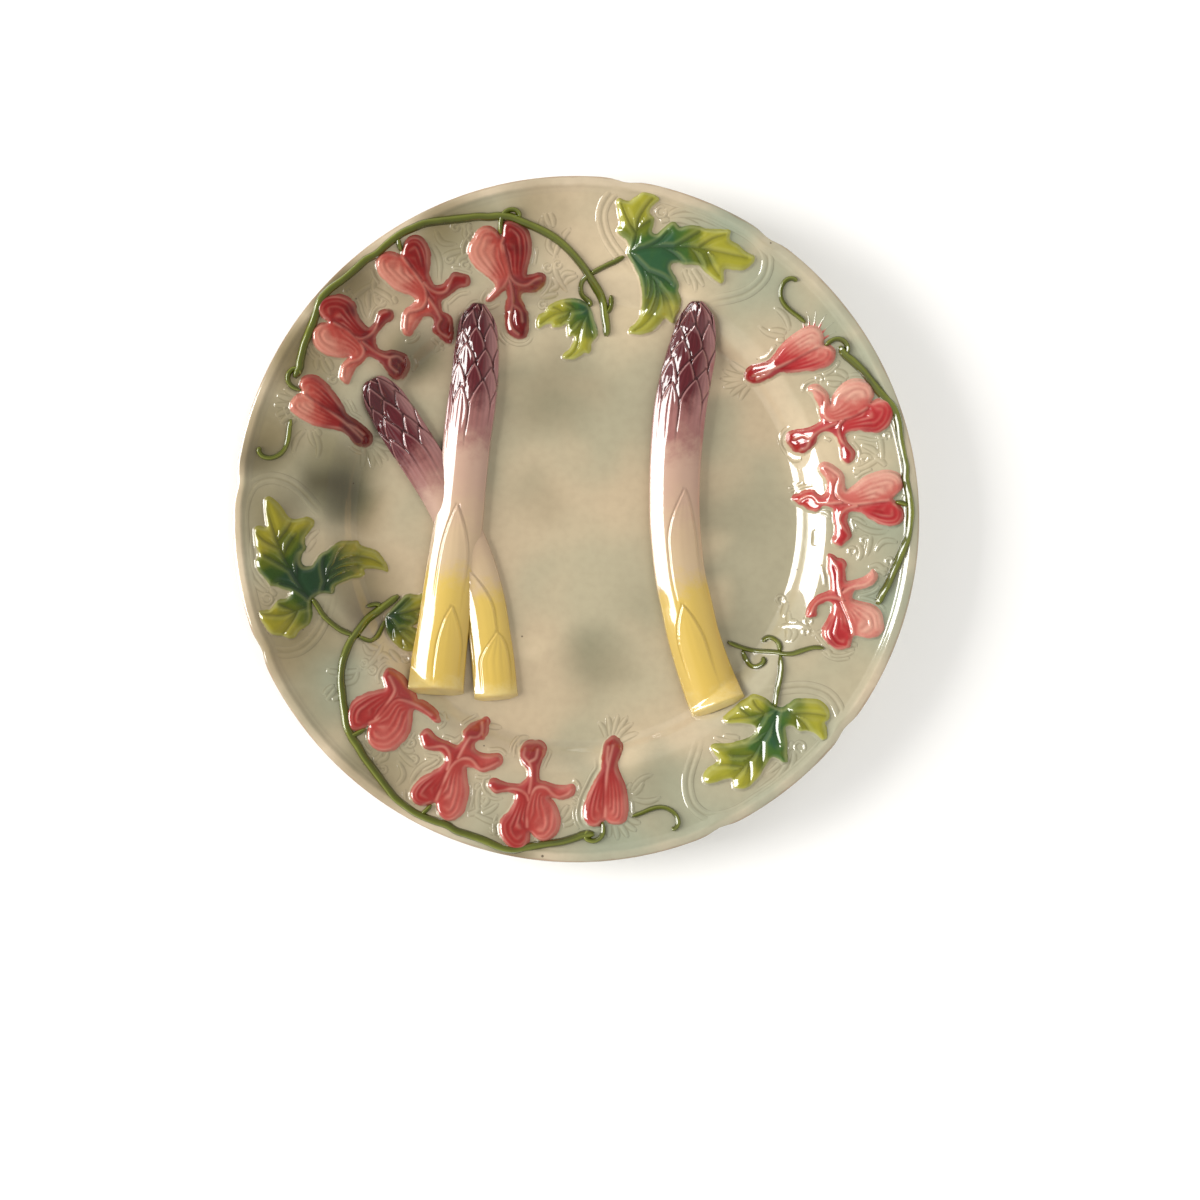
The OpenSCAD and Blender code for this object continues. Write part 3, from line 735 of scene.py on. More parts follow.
@dataclass(frozen=True)
class GroundGlaze:
    """The cream glaze of the ground, with its clouds, its bare rim and its pinholes, in drawing units."""

    cream: Colour = (187, 169, 140)
    cool: Colour = (166, 159, 133)
    cool_rate: float = 0.022
    cool_range: Place = (0.35, 0.65)
    lip: Colour = (196, 180, 154)
    lip_range: Place = (117.0, 118.6)
    body: Colour = (140, 104, 78)
    body_range: Place = (119.9, 120.8)
    body_share: float = 0.45
    worn_rate: float = 0.12
    worn_reach: float = 1.6
    drift_rate: float = 0.04
    drift_reach: float = 20.0
    mottle_rate: float = 0.35
    mottle_range: Place = (0.3, 0.8)
    mottle_share: float = 0.07
    pinhole: Colour = (62, 48, 34)
    pinhole_rate: float = 0.085
    pinhole_range: Place = (0.075, 0.05)
    pinhole_thin_rate: float = 0.05
    pinhole_thin: float = 0.07
    pinhole_share: float = 0.8
    pinhole_depth: float = 0.3
    wave_rate: float = 0.09
    grain_rate: float = 0.6
    grain_depth: float = 0.16
    tints: tuple[tuple[Colour, tuple[Cloud, ...]], ...] = (
        # Pale clouds. Those at (-21, 62), (-23, 48), (51, 52), (48, -10), (50, -30) and (-21, -44), right of
        # the spears, are painted light over the spears' cast shadows; the one at (19, -85) is painted light
        # on the bottom of the well's side; the one at (40, 79) is a painted highlight beside the right
        # spear's tip
        ((206, 188, 156), (
            Cloud(18, 82, 40, 0.8), Cloud(40, 79, 10, 0.9), Cloud(6, -20, 40, 0.2),
            Cloud(30, -60, 40, 0.25), Cloud(19, -85, 15, 1.0), Cloud(92, 26, 30, 0.7),
            Cloud(-21, 62, 13, 0.8), Cloud(-23, 48, 10, 0.6), Cloud(51, 52, 12, 0.8),
            Cloud(48, -10, 11, 0.7), Cloud(50, -30, 12, 0.9), Cloud(-21, -44, 10, 0.6),
        )),
        ((138, 150, 130), (
            Cloud(108, 42, 30, 0.6), Cloud(114, 0, 32, 0.6), Cloud(110, -30, 28, 0.8),
            Cloud(84, -84, 32, 0.5), Cloud(42, -106, 34, 0.5), Cloud(14, -112, 28, 0.6),
            Cloud(-30, -106, 26, 0.5), Cloud(-86, -58, 22, 0.7), Cloud(70, 84, 26, 0.6),
            Cloud(92, 70, 26, 0.6), Cloud(54, 103, 22, 0.8), Cloud(106, 56, 20, 0.6),
            Cloud(66, -99, 18, 0.6),
        )),
        # Olive clouds, most on the left: partly the glaze's own clouds, partly painted shade on the left
        # flange, which slopes away from the window
        ((104, 91, 52), (
            Cloud(-86, 82, 26, 0.85), Cloud(-46, 104, 22, 0.75), Cloud(-98, 56, 28, 0.8),
            Cloud(-108, 26, 26, 0.7), Cloud(-110, 0, 22, 0.6), Cloud(-78, -20, 26, 0.55),
            Cloud(-100, -42, 28, 0.7), Cloud(-96, -66, 24, 0.3), Cloud(-70, -92, 26, 0.5),
            Cloud(-24, -114, 16, 0.7), Cloud(-76, 6, 18, 0.6), Cloud(-84, 22, 18, 0.6),
            Cloud(-62, 60, 16, 0.5), Cloud(-62, 84, 18, 0.4), Cloud(-16, 108, 18, 0.4),
            Cloud(-98, -60, 16, 0.35),
        )),
        ((98, 98, 74), (
            Cloud(-83, 12, 20, 0.95), Cloud(-55, 60, 15, 0.65), Cloud(-11, 46, 24, 0.5, 1.4),
            Cloud(8, -52, 21, 0.5, 1.1), Cloud(24, -30, 14, 0.15), Cloud(-14, 6, 16, 0.25),
            Cloud(57, 2, 24, 0.2), Cloud(56, -34, 18, 0.25), Cloud(28, -94, 18, 0.3),
        )),
        # Darkest clouds, all on the left: partly the glaze's own clouds, partly painted shade on the left
        # flange
        ((70, 62, 42), (
            Cloud(-86, 12, 15, 0.75), Cloud(-80, 78, 15, 0.45), Cloud(-78, -32, 14, 0.6),
            Cloud(-98, 3, 14, 0.4), Cloud(-64, 86, 12, 0.35), Cloud(-110, 20, 12, 0.5),
            Cloud(-62, 56, 12, 0.3),
        )),
    )

    @staticmethod
    def gather(n: Nodes, place: Socket, clouds: tuple[Cloud, ...]) -> Socket:
        """Adds clouds to a tree.

        Args:
            n: The tree's nodes.
            place: The place, in drawing units.
            clouds: The clouds.

        Returns:
            How strong they are at the place.
        """
        total: object = 0.0
        for cloud in clouds:
            gap = n.vector("SUBTRACT", place, (cloud.x, cloud.y, 0.0))
            flat = n.vector("MULTIPLY", gap, (1 / cloud.stretch, 1.0, 0.0))
            total = n.math("MAXIMUM", total, n.ramp(n.length(flat), cloud.radius, 0.0, cloud.strength))
        return total

    def group(self, scale: float) -> bpy.types.NodeTree:
        """Builds the ground's node group.

        Args:
            scale: Metres for each drawing unit.

        Returns:
            A group that puts out Color and Bump.
        """
        n, _ = start_group("ground_glaze", (), {"Color": "Color", "Bump": "Float"})
        place = n.drawing_place(scale)
        color = self.clouded(n, place)
        mottle = n.ramp(n.noise(place, self.mottle_rate, 4.0), *self.mottle_range)
        color = n.mix(n.math("MULTIPLY", mottle, self.mottle_share), color, linear(self.pinhole))
        dot = self.pinholes(n, place)
        color = n.mix(n.math("MULTIPLY", dot, self.pinhole_share), color, linear(self.pinhole))
        grain = n.math("MULTIPLY", n.noise(place, self.grain_rate, 2.0), self.grain_depth)
        waves = n.math("ADD", n.noise(place, self.wave_rate, 2.0), grain)
        bump = n.math("SUBTRACT", waves, n.math("MULTIPLY", dot, self.pinhole_depth))
        n.put_out({"Color": color, "Bump": bump})
        return n.tree

    def clouded(self, n: Nodes, place: Socket) -> Socket:
        """Adds the ground's colour with its clouds, its lip and the body that shows through at the rim.

        Args:
            n: The tree's nodes.
            place: The place, in drawing units.

        Returns:
            The colour.
        """
        wander = n.add("TexNoise", {"Vector": place, "Scale": self.drift_rate, "Detail": 1.0})
        push = n.vector("SUBTRACT", wander.outputs["Color"], (0.5, 0.5, 0.5))
        moved = n.vector("MULTIPLY_ADD", push, (self.drift_reach, self.drift_reach, 0.0), place)
        cool = n.ramp(n.noise(place, self.cool_rate, 2.0), *self.cool_range)
        color = n.mix(cool, linear(self.cream), linear(self.cool))
        radius = n.length(n.vector("MULTIPLY", place, (1.0, 1.0, 0.0)))
        worn = n.math("MULTIPLY", n.noise(place, self.worn_rate), self.worn_reach)
        worn = n.math("ADD", radius, worn)
        color = n.mix(n.ramp(worn, *self.lip_range), color, linear(self.lip))
        for tint, clouds in self.tints:
            color = n.mix(self.gather(n, moved, clouds), color, linear(tint))
        bare = n.math("MULTIPLY", n.ramp(worn, *self.body_range), self.body_share)
        return n.mix(bare, color, linear(self.body))

    def pinholes(self, n: Nodes, place: Socket) -> Socket:
        """Adds the pinholes of the firing.

        Args:
            n: The tree's nodes.
            place: The place, in drawing units.

        Returns:
            1 in the middle of a pinhole and 0 off it.
        """
        pits = n.add("TexVoronoi", {"Vector": place, "Scale": self.pinhole_rate, "Randomness": 1.0},
                     voronoi_dimensions="3D")
        thin = n.math("MULTIPLY", n.noise(place, self.pinhole_thin_rate), self.pinhole_thin)
        return n.ramp(n.math("ADD", pits.outputs["Distance"], thin), *self.pinhole_range)


@dataclass(frozen=True)
class Gloss:
    """How a fired glaze shines."""

    roughness: float = 0.1
    ior: float = 1.5
    specular: float = 0.3
    coat: float = 1.0
    coat_roughness: float = 0.02
    coat_ior: float = 1.68
    wave: float = 0.2
    wave_height: float = 0.55
    smear_per_metre: float = 26.0
    smear: float = 0.06

    def group(self) -> bpy.types.NodeTree:
        """Builds the group that smears the shine: it takes Roughness and puts out Roughness."""
        n, given = start_group("smeared_shine", ("Roughness",), {"Roughness": "Float"})
        noise = n.noise(n.add("TexCoord").outputs["Object"], self.smear_per_metre)
        low = n.math("SUBTRACT", given.outputs["Roughness"], self.smear / 2)
        n.put_out({"Roughness": n.math("MULTIPLY_ADD", noise, self.smear, low)})
        return n.tree


@dataclass(frozen=True)
class Brush:
    """How unevenly the coloured glazes are laid on, in drawing units."""

    wash_rate: float = 0.22
    speckle_rate: float = 0.9
    speckle_share: float = 0.4
    edge_rate: float = 0.32
    edge_reach: float = 2.6
    edge_soft: Place = (-0.25, 0.3)

    def group(self, scale: float) -> bpy.types.NodeTree:
        """Builds the group that lays paint on unevenly.

        Args:
            scale: Metres for each drawing unit.

        Returns:
            A group that takes Hue, Hue Noise, Way In, Edge Noise and Edge At, and puts out Hue and Cover.
        """
        n, given = start_group("brushwork", ("Hue", "Hue Noise", "Way In", "Edge Noise", "Edge At"),
                               {"Hue": "Float", "Cover": "Float"})
        hue, hue_noise, way_in, edge_noise, edge_at = given.outputs[:5]
        place = n.drawing_place(scale)
        wash = n.swing(n.noise(place, self.wash_rate), hue_noise)
        speckle = n.noise(place, self.speckle_rate, 4.0, 0.6)
        speckle = n.swing(speckle, n.math("MULTIPLY", hue_noise, self.speckle_share))
        hue = n.math("ADD", n.math("ADD", hue, wash), speckle)
        reach = n.math("MULTIPLY", edge_noise, self.edge_reach)
        edge = n.swing(n.noise(place, self.edge_rate, 2.0), reach)
        way = n.math("ADD", n.swing(way_in, WAY_SPAN), edge)
        low, high = (n.math("ADD", edge_at, soft) for soft in self.edge_soft)
        n.put_out({"Hue": hue, "Cover": n.ramp(way, low, high)})
        return n.tree


@dataclass(frozen=True)
class Pigment:
    """A coloured glaze painted on relief: colours along its hue, its crests, its pools and its edge. The
    crests are partly thin glaze and partly a painted highlight; the pools are partly pooled glaze and partly
    painted shade.
    """

    name: str
    slot: str
    hues: tuple[tuple[float, Colour], ...]
    crest: Colour
    pool: Colour
    edge_noise: float = 0.5
    edge_at: float = -0.3
    hue_noise: float = 0.25
    crest_strength: float = 0.8
    pool_strength: float = 0.8


class Glazes:
    """Builds the plate's materials from one ground, one shine and one way of laying paint on."""

    def __init__(self, scale: float, ground: GroundGlaze, gloss: Gloss, brush: Brush) -> None:
        """Builds the node groups that the glazes share.

        Args:
            scale: Metres for each drawing unit.
            ground: The ground's finish.
            gloss: The shine that all the glazes have.
            brush: The unevenness that the coloured ones have.
        """
        self.scale = scale
        self.gloss = gloss
        self.ground = ground.group(scale)
        self.shine = gloss.group()
        self.brushwork = brush.group(scale)

    def start(self, name: str) -> tuple[bpy.types.Material, Nodes, bpy.types.Node]:
        """Starts a material with the ground in it.

        Args:
            name: The material's name.

        Returns:
            The material, its nodes and the ground's node.
        """
        material = bpy.data.materials.new(name)
        material.use_nodes = True
        material.node_tree.nodes.clear()
        n = Nodes(material.node_tree)
        return material, n, n.add("Group", node_tree=self.ground)

    def finish(self, n: Nodes, color: Socket, bump: Socket) -> None:
        """Adds the shader and the output to a material's tree.

        Args:
            n: The tree's nodes.
            color: The glaze's colour.
            bump: The height of its surface, in drawing units.
        """
        gloss = self.gloss
        height = gloss.wave_height * self.scale
        lift = n.add("Bump", {"Strength": gloss.wave, "Distance": height, "Height": bump})
        shine = n.add("Group", {"Roughness": gloss.roughness}, node_tree=self.shine)
        shader = n.add("BsdfPrincipled", {
            "Base Color": color, "Roughness": shine.outputs["Roughness"], "IOR": gloss.ior,
            "Specular IOR Level": gloss.specular, "Coat Weight": gloss.coat,
            "Coat Roughness": gloss.coat_roughness, "Coat IOR": gloss.coat_ior, "Normal": lift.outputs[0],
        })
        out = n.add("OutputMaterial")
        n.tree.links.new(shader.outputs[0], out.inputs["Surface"])

    def bare(self) -> Glaze:
        """Returns the bare ground's glaze."""
        material, n, ground = self.start("ground_glaze")
        self.finish(n, ground.outputs["Color"], ground.outputs["Bump"])
        return Glaze("ground_glaze", material)

    def painted(self, pigment: Pigment) -> Glaze:
        """Returns the glaze of relief that is painted with a colour.

        Args:
            pigment: The colour.
        """
        material, n, ground = self.start(pigment.name)
        stored = n.add("Attribute", attribute_name=GLAZE_ATTRIBUTE)
        parts = n.add("SeparateColor", {0: stored.outputs["Color"]}).outputs
        hue, crest, pool = parts[0], parts[1], parts[2]
        laid = n.add("Group", {
            "Hue": hue, "Hue Noise": pigment.hue_noise, "Way In": stored.outputs["Alpha"],
            "Edge Noise": pigment.edge_noise, "Edge At": pigment.edge_at,
        }, node_tree=self.brushwork).outputs
        ramp = n.add("ValToRGB", {0: laid["Hue"]})
        ramp.color_ramp.interpolation = "EASE"
        stops = ramp.color_ramp.elements
        while len(stops) < len(pigment.hues):
            stops.new(1.0)
        for stop, (at, rgb) in zip(stops, pigment.hues):
            stop.position = at
            stop.color = linear(rgb)
        # Darker glaze in the hollows, partly pooled glaze and partly painted shade, then paler crests, partly
        # thin glaze and partly a painted highlight
        color = n.mix(n.math("MULTIPLY", pool, pigment.pool_strength), ramp.outputs[0], linear(pigment.pool))
        color = n.mix(n.math("MULTIPLY", crest, pigment.crest_strength), color, linear(pigment.crest))
        color = n.mix(laid["Cover"], ground.outputs["Color"], color)
        self.finish(n, color, ground.outputs["Bump"])
        return Glaze(pigment.slot, material)


FLOWER_RED = Pigment(
    "flower_red", "flower_glaze",
    ((0.0, (80, 6, 8)), (0.3, (122, 23, 21)), (0.62, (156, 63, 53)), (1.0, (183, 117, 99))),
    crest=(206, 151, 129), pool=(84, 8, 10), hue_noise=0.4, crest_strength=0.75, pool_strength=0.6)
FLOWER_PINK = Pigment(
    "flower_pink", "flower_glaze",
    ((0.0, (138, 36, 34)), (0.3, (149, 44, 41)), (0.62, (158, 58, 52)), (1.0, (176, 88, 78))),
    crest=(220, 170, 148), pool=(100, 12, 14), hue_noise=0.4, crest_strength=0.75, pool_strength=0.6)
FLOWER_ROSE = Pigment(
    "flower_rose", "flower_glaze",
    ((0.0, (136, 16, 22)), (0.3, (166, 46, 48)), (0.62, (182, 94, 84)), (1.0, (200, 146, 128))),
    crest=(222, 182, 158), pool=(118, 12, 20), hue_noise=0.4, crest_strength=0.75, pool_strength=0.65)
LEAF_GREEN = Pigment(
    "leaf_green", "leaf_glaze",
    ((0.0, (42, 80, 48)), (0.25, (58, 90, 34)), (0.55, (96, 106, 28)), (1.0, (148, 144, 44))),
    crest=(184, 186, 122), pool=(36, 48, 12), edge_noise=0.3, edge_at=-0.1, pool_strength=0.65)
LEAF_DEEP = Pigment(
    "leaf_deep_green", "leaf_glaze",
    ((0.0, (28, 54, 30)), (0.25, (42, 64, 16)), (0.55, (78, 86, 16)), (1.0, (128, 120, 32))),
    crest=(160, 160, 96), pool=(22, 30, 4), edge_noise=0.3, edge_at=-0.1, pool_strength=0.65)
STEM_OLIVE = Pigment(
    "stem_olive", "stem_glaze",
    ((0.0, (52, 54, 4)), (0.5, (78, 84, 10)), (1.0, (112, 118, 32))),
    crest=(152, 158, 82), pool=(38, 36, 2), edge_noise=0.22, hue_noise=0.35)
SPEAR = Pigment(
    "spear", "spear_glaze",
    ((0.0, (78, 22, 28)), (0.2, (88, 30, 36)), (0.29, (146, 98, 93)), (0.41, (184, 152, 133)),
     (0.64, (194, 170, 136)), (0.73, (202, 173, 89)), (0.93, (201, 171, 84)), (1.0, (208, 186, 120))),
    crest=(188, 140, 136), pool=(46, 8, 12), edge_noise=0.12, hue_noise=0.1, crest_strength=0.75,
    pool_strength=0.6)
# Darker ground glaze beside the beads of the sprigs and frames: partly pooled glaze, partly painted shade
POOLED_AND_SHADED_GROUND = Pigment(
    "pooled_ground", "ground_glaze", ((0.0, (104, 94, 64)), (1.0, (104, 94, 64))),
    crest=(206, 188, 156), pool=(104, 94, 64), edge_noise=0.03, edge_at=0.0, hue_noise=0.0)

# How far inside its outline paint seems to be where the darker glaze, partly pooled and partly painted shade,
# is absent and where it is full
POOL_AND_SHADE_RANGE: Place = (-0.25, -0.002)


def pooled_and_shaded_tones(cover: Points) -> Points:
    """Returns the tones where darker glaze, partly pooled and partly painted shade, covers the ground by a
    share from 0 to 1.
    """
    absent, full = POOL_AND_SHADE_RANGE
    none = np.zeros(len(cover))
    return np.column_stack([none, none, none, stored_way(absent + (full - absent) * cover)])


# Relief


def swell(inward: Points, shoulders: tuple[Place, ...]) -> Points:
    """Returns how full a rounded body is, from its shoulders: the share and the width of each."""
    return sum(share * dome(inward / width) for share, width in shoulders)


@dataclass
class FlowerDrawing:
    """One bleeding heart: its outline, the ridges between its parts, and its light and dark lobes."""

    outline: Line
    ridges: list[Line]
    light: Place
    dark: Place
    tail: Place
    height: float = 2.9
    shoulders: tuple[Place, ...] = ((0.3, 1.7), (0.42, 5.0))
    folds: float = 5.2
    fold_rise: float = 0.14
    bead_rise: float = 0.16
    step: float = 1.0
    ridge_rise: float = 0.16
    crease_depth: float = 0.2
    overlap_depth: float = 0.3
    underlap_rise: float = 0.05

    def relief(self, places: Points, inward: Points) -> tuple[Points, Points]:
        """Gives the flower its parts, which step down at its ridges, with folds in its wide lobes.

        Args:
            places: Places on the drawing.
            inward: Their way in from the outline.

        Returns:
            The rise and the tones of the places.
        """
        gap, side = to_lines(places, [smooth(r) for r in self.ridges])
        uneven = ripple(places, 9.0, 3)
        width = np.maximum(inward + gap, 0.1)
        phase = np.clip(inward, 0, None) / width
        lobe = ease(4.2, 7.5, width) * ease(0.1, 0.25, phase) * (1 - ease(0.8, 0.97, phase))
        wave = 0.5 + 0.5 * np.cos(math.tau * (self.folds * phase - 0.15 + 0.06 * uneven))
        strength = lobe * (0.7 + 0.7 * uneven)
        fold = wave**3 * strength
        furrow = (1 - wave)**2 * strength
        edge = bell(inward - 0.1, 0.5)
        bead = bell(inward - 0.8 - 0.1 * uneven, 0.4) * ease(1.4, 3.0, gap) * np.clip(0.6 + uneven, 0, 1)
        ridge = bell(gap, 0.5) * ease(0, 1.2, inward) * (1 - 0.8 * ease(4.0, 6.5, width))
        crease = bell(gap - 0.9, 0.5) * np.where(side > 0, 1.0, 0.2) * ease(1.0, 2.0, inward)
        overlap = np.where(side > 0, -self.overlap_depth * ease(0, 0.8, gap), self.underlap_rise)
        overlap = overlap * (1 - ease(0.4, 4.5, gap)) * ease(1.5, 3.0, inward)
        rise = self.height * swell(inward, self.shoulders)
        rise = rise + self.fold_rise * (fold - furrow) + self.bead_rise * bead
        rise = rise + self.step * (self.ridge_rise * ridge - self.crease_depth * crease + overlap)
        to_light, to_dark, to_tail = (np.hypot(*(places - spot).T)
                                      for spot in (self.light, self.dark, self.tail))
        hue = 0.56 + 0.42 * np.tanh((to_dark - to_light) / 8) - 0.45 * bell(to_tail, 10) + 0.12 * uneven
        # Paler crests on the ridges, beads, folds and edge are partly thin glaze and partly a painted
        # highlight; the darker creases below each step and the furrows are partly pooled glaze and partly
        # painted shade
        crest = 0.5 * ridge * (0.8 + 0.4 * uneven) + 0.4 * bead + 0.24 * fold + 0.22 * edge
        pool = 0.55 * crease + 0.4 * furrow
        return rise, np.column_stack([hue, crest, pool])


@dataclass
class LeafDrawing:
    """One lobed leaf: its outline, its veins and the tips of its lobes."""

    outline: Line
    ribs: list[Line]
    tips: list[Triple]
    height: float = 2.2
    shoulders: tuple[Place, ...] = ((0.4, 1.7), (0.4, 4.5))
    pillow_rise: float = 0.5
    lean_rise: float = 0.22
    margin_rise: float = 0.16
    vein_depth: float = 0.3

    def relief(self, places: Points, inward: Points) -> tuple[Points, Points]:
        """Gives the leaf its pillows between sunk veins and the bead along its edge.

        Args:
            places: Places on the drawing.
            inward: Their way in from the outline.

        Returns:
            The rise and the tones of the places.
        """
        gap, side = to_lines(places, [smooth(r) for r in self.ribs])
        uneven = ripple(places, 7.0, 5)
        pillow = (1 - bell(gap, 2.1)) * ease(0.4, 2.4, inward)
        lean = side * bell(gap - 1.1, 0.9) * ease(0.8, 2.0, inward)
        margin = bell(inward - 0.75, 0.45) * (0.7 + 0.5 * uneven)
        vein = bell(gap, 0.42)
        rise = self.height * swell(inward, self.shoulders)
        rise = rise + self.pillow_rise * pillow + self.lean_rise * lean
        rise = rise + self.margin_rise * margin - self.vein_depth * vein * ease(0.3, 1.2, inward)
        hue = np.zeros(len(places))
        for x, y, reach in self.tips:
            hue = np.maximum(hue, 1 - ease(0.25, 1.35, np.hypot(*(places - [x, y]).T) / reach))
        hue = hue + 0.12 * uneven
        # The paler margin, edge and raised side of each vein are partly thin glaze and partly a painted
        # highlight; the darker veins and the sunk side beside them are partly pooled glaze and partly painted
        # shade
        edge = bell(inward - 0.2, 0.55)
        crest = 0.3 * margin + 0.3 * edge + 0.16 * bell(gap - 1.3, 0.5) * (side > 0)
        pool = 0.6 * vein + 0.24 * bell(gap - 0.8, 0.5) * (side < 0)
        return rise, np.column_stack([hue, crest, pool])


BUD = FlowerDrawing(
    [(-47, 95), (-49, 95.3), (-51, 95), (-53, 94), (-53.8, 92), (-53.5, 89.5), (-52.5, 87), (-51, 84),
     (-49, 81), (-46.5, 78.5), (-44.5, 76), (-44, 73), (-44, 70), (-43, 68), (-41.5, 67.2), (-40, 67),
     (-38.5, 68), (-37.6, 70), (-37.8, 73), (-38.5, 76), (-39.5, 79), (-38.9, 82), (-38.5, 86),
     (-38.2, 90), (-38.4, 93), (-39.2, 96), (-41, 98), (-43.5, 98.7), (-45.8, 97.5)],
    [[(-46.8, 93.5), (-45.4, 89), (-43.6, 84), (-42, 79), (-41.2, 74), (-40.8, 70)],
     [(-41.6, 77), (-40.2, 74.4), (-39.4, 71)]],
    light=(-49, 90), dark=(-40, 86), tail=(-41, 71))

FIRST_FLOWER = FlowerDrawing(
    [(-24.2, 108.3), (-26.5, 109.3), (-29, 109.5), (-31, 108.5), (-32.5, 106), (-33, 103.5),
     (-32.5, 101), (-31, 98.5), (-28.5, 96), (-26, 94.7), (-28, 94.1), (-30, 93.8), (-32.5, 92),
     (-33.5, 90.5), (-33.2, 88.5), (-32, 87.8), (-30, 89), (-27, 90), (-23, 90.3), (-20.5, 90.3),
     (-19, 87), (-18.8, 84), (-19, 81), (-18.5, 79), (-16.5, 78), (-14, 78.5), (-11.5, 80),
     (-10.3, 82.5), (-11, 84.5), (-13, 87), (-15.5, 88.5), (-16.5, 91), (-15, 94), (-12, 95.2),
     (-9, 95.6), (-6, 95.5), (-4.4, 96.8), (-4.6, 98.4), (-6, 99.5), (-8, 100), (-10, 99), (-12, 98),
     (-14.6, 98.2), (-15, 101.5), (-14.3, 104.5), (-13, 107.5), (-13.2, 110), (-15, 113),
     (-18, 115), (-21, 115.6), (-24, 114.2), (-24.8, 111.5)],
    [[(-22.6, 106.5), (-20.9, 102), (-20.2, 97), (-20.2, 94), (-21.5, 92.3), (-24, 91.8), (-26.5, 92.8),
      (-29, 93.4), (-31.5, 91.5), (-32.6, 89.2)],
     [(-19.8, 98), (-18.5, 96.5), (-16, 95.8), (-13, 96.2), (-10.5, 97.8), (-8, 99.2), (-5.6, 98.6)],
     [(-19, 95.5), (-18, 91), (-16.6, 87.6), (-15, 85.6)],
     [(-15, 85.6), (-16.8, 83.6), (-16.4, 80.8)], [(-15, 85.6), (-12.6, 84.4), (-12, 82)]],
    light=(-29, 104), dark=(-17, 106), tail=(-14.5, 81))

MIDDLE_FLOWER = FlowerDrawing(
    [(10.5, 110.5), (9, 112.5), (7.5, 114), (5, 114.8), (2.5, 114), (1, 112), (0.3, 109.5),
     (0.5, 106.5), (1.2, 103), (2.5, 100.5), (4, 98), (4.9, 95.4), (2.2, 94.8), (0, 95), (-2, 94.4),
     (-3.5, 93), (-5, 91.5), (-6, 89.5), (-5.4, 87.8), (-4, 87.2), (-2, 88), (1, 89), (4, 88.8),
     (5.5, 87), (4.5, 85.3), (3, 84.3), (2.6, 82), (3, 80), (3.5, 77.8), (4.8, 77), (6.3, 77.9),
     (8, 79.8), (9.5, 81.5), (10.5, 83.5), (10.3, 85), (9.4, 86.4), (9.8, 88), (11, 89.6), (14, 89.5),
     (17, 89.6), (19.5, 89), (21.5, 87.9), (23, 88.2), (24.2, 90.3), (22.8, 92.5), (21, 94.3),
     (18, 94), (15.5, 93.6), (13.2, 94.8), (12.8, 96.5), (13.8, 99), (16, 101.5), (18.2, 104),
     (19.7, 107), (20, 110), (19, 112), (17, 113.2), (14.8, 113.1), (12.5, 111.8)],
    [[(10.4, 109), (10.2, 103), (10, 98), (9.3, 95.5), (7.5, 93), (5, 92), (3, 92.5), (0, 94),
      (-2.5, 92.5), (-5, 89.8)],
     [(10.7, 98), (11, 95), (12.5, 92.3), (15, 91.2), (18, 92.5), (20.5, 93.6), (22.8, 92)],
     [(8.6, 93), (8.2, 88.6), (7.4, 85)],
     [(7.4, 85), (5, 84), (4.4, 81.6), (5.6, 79)]],
    light=(4, 106), dark=(16, 106), tail=(6.5, 80))

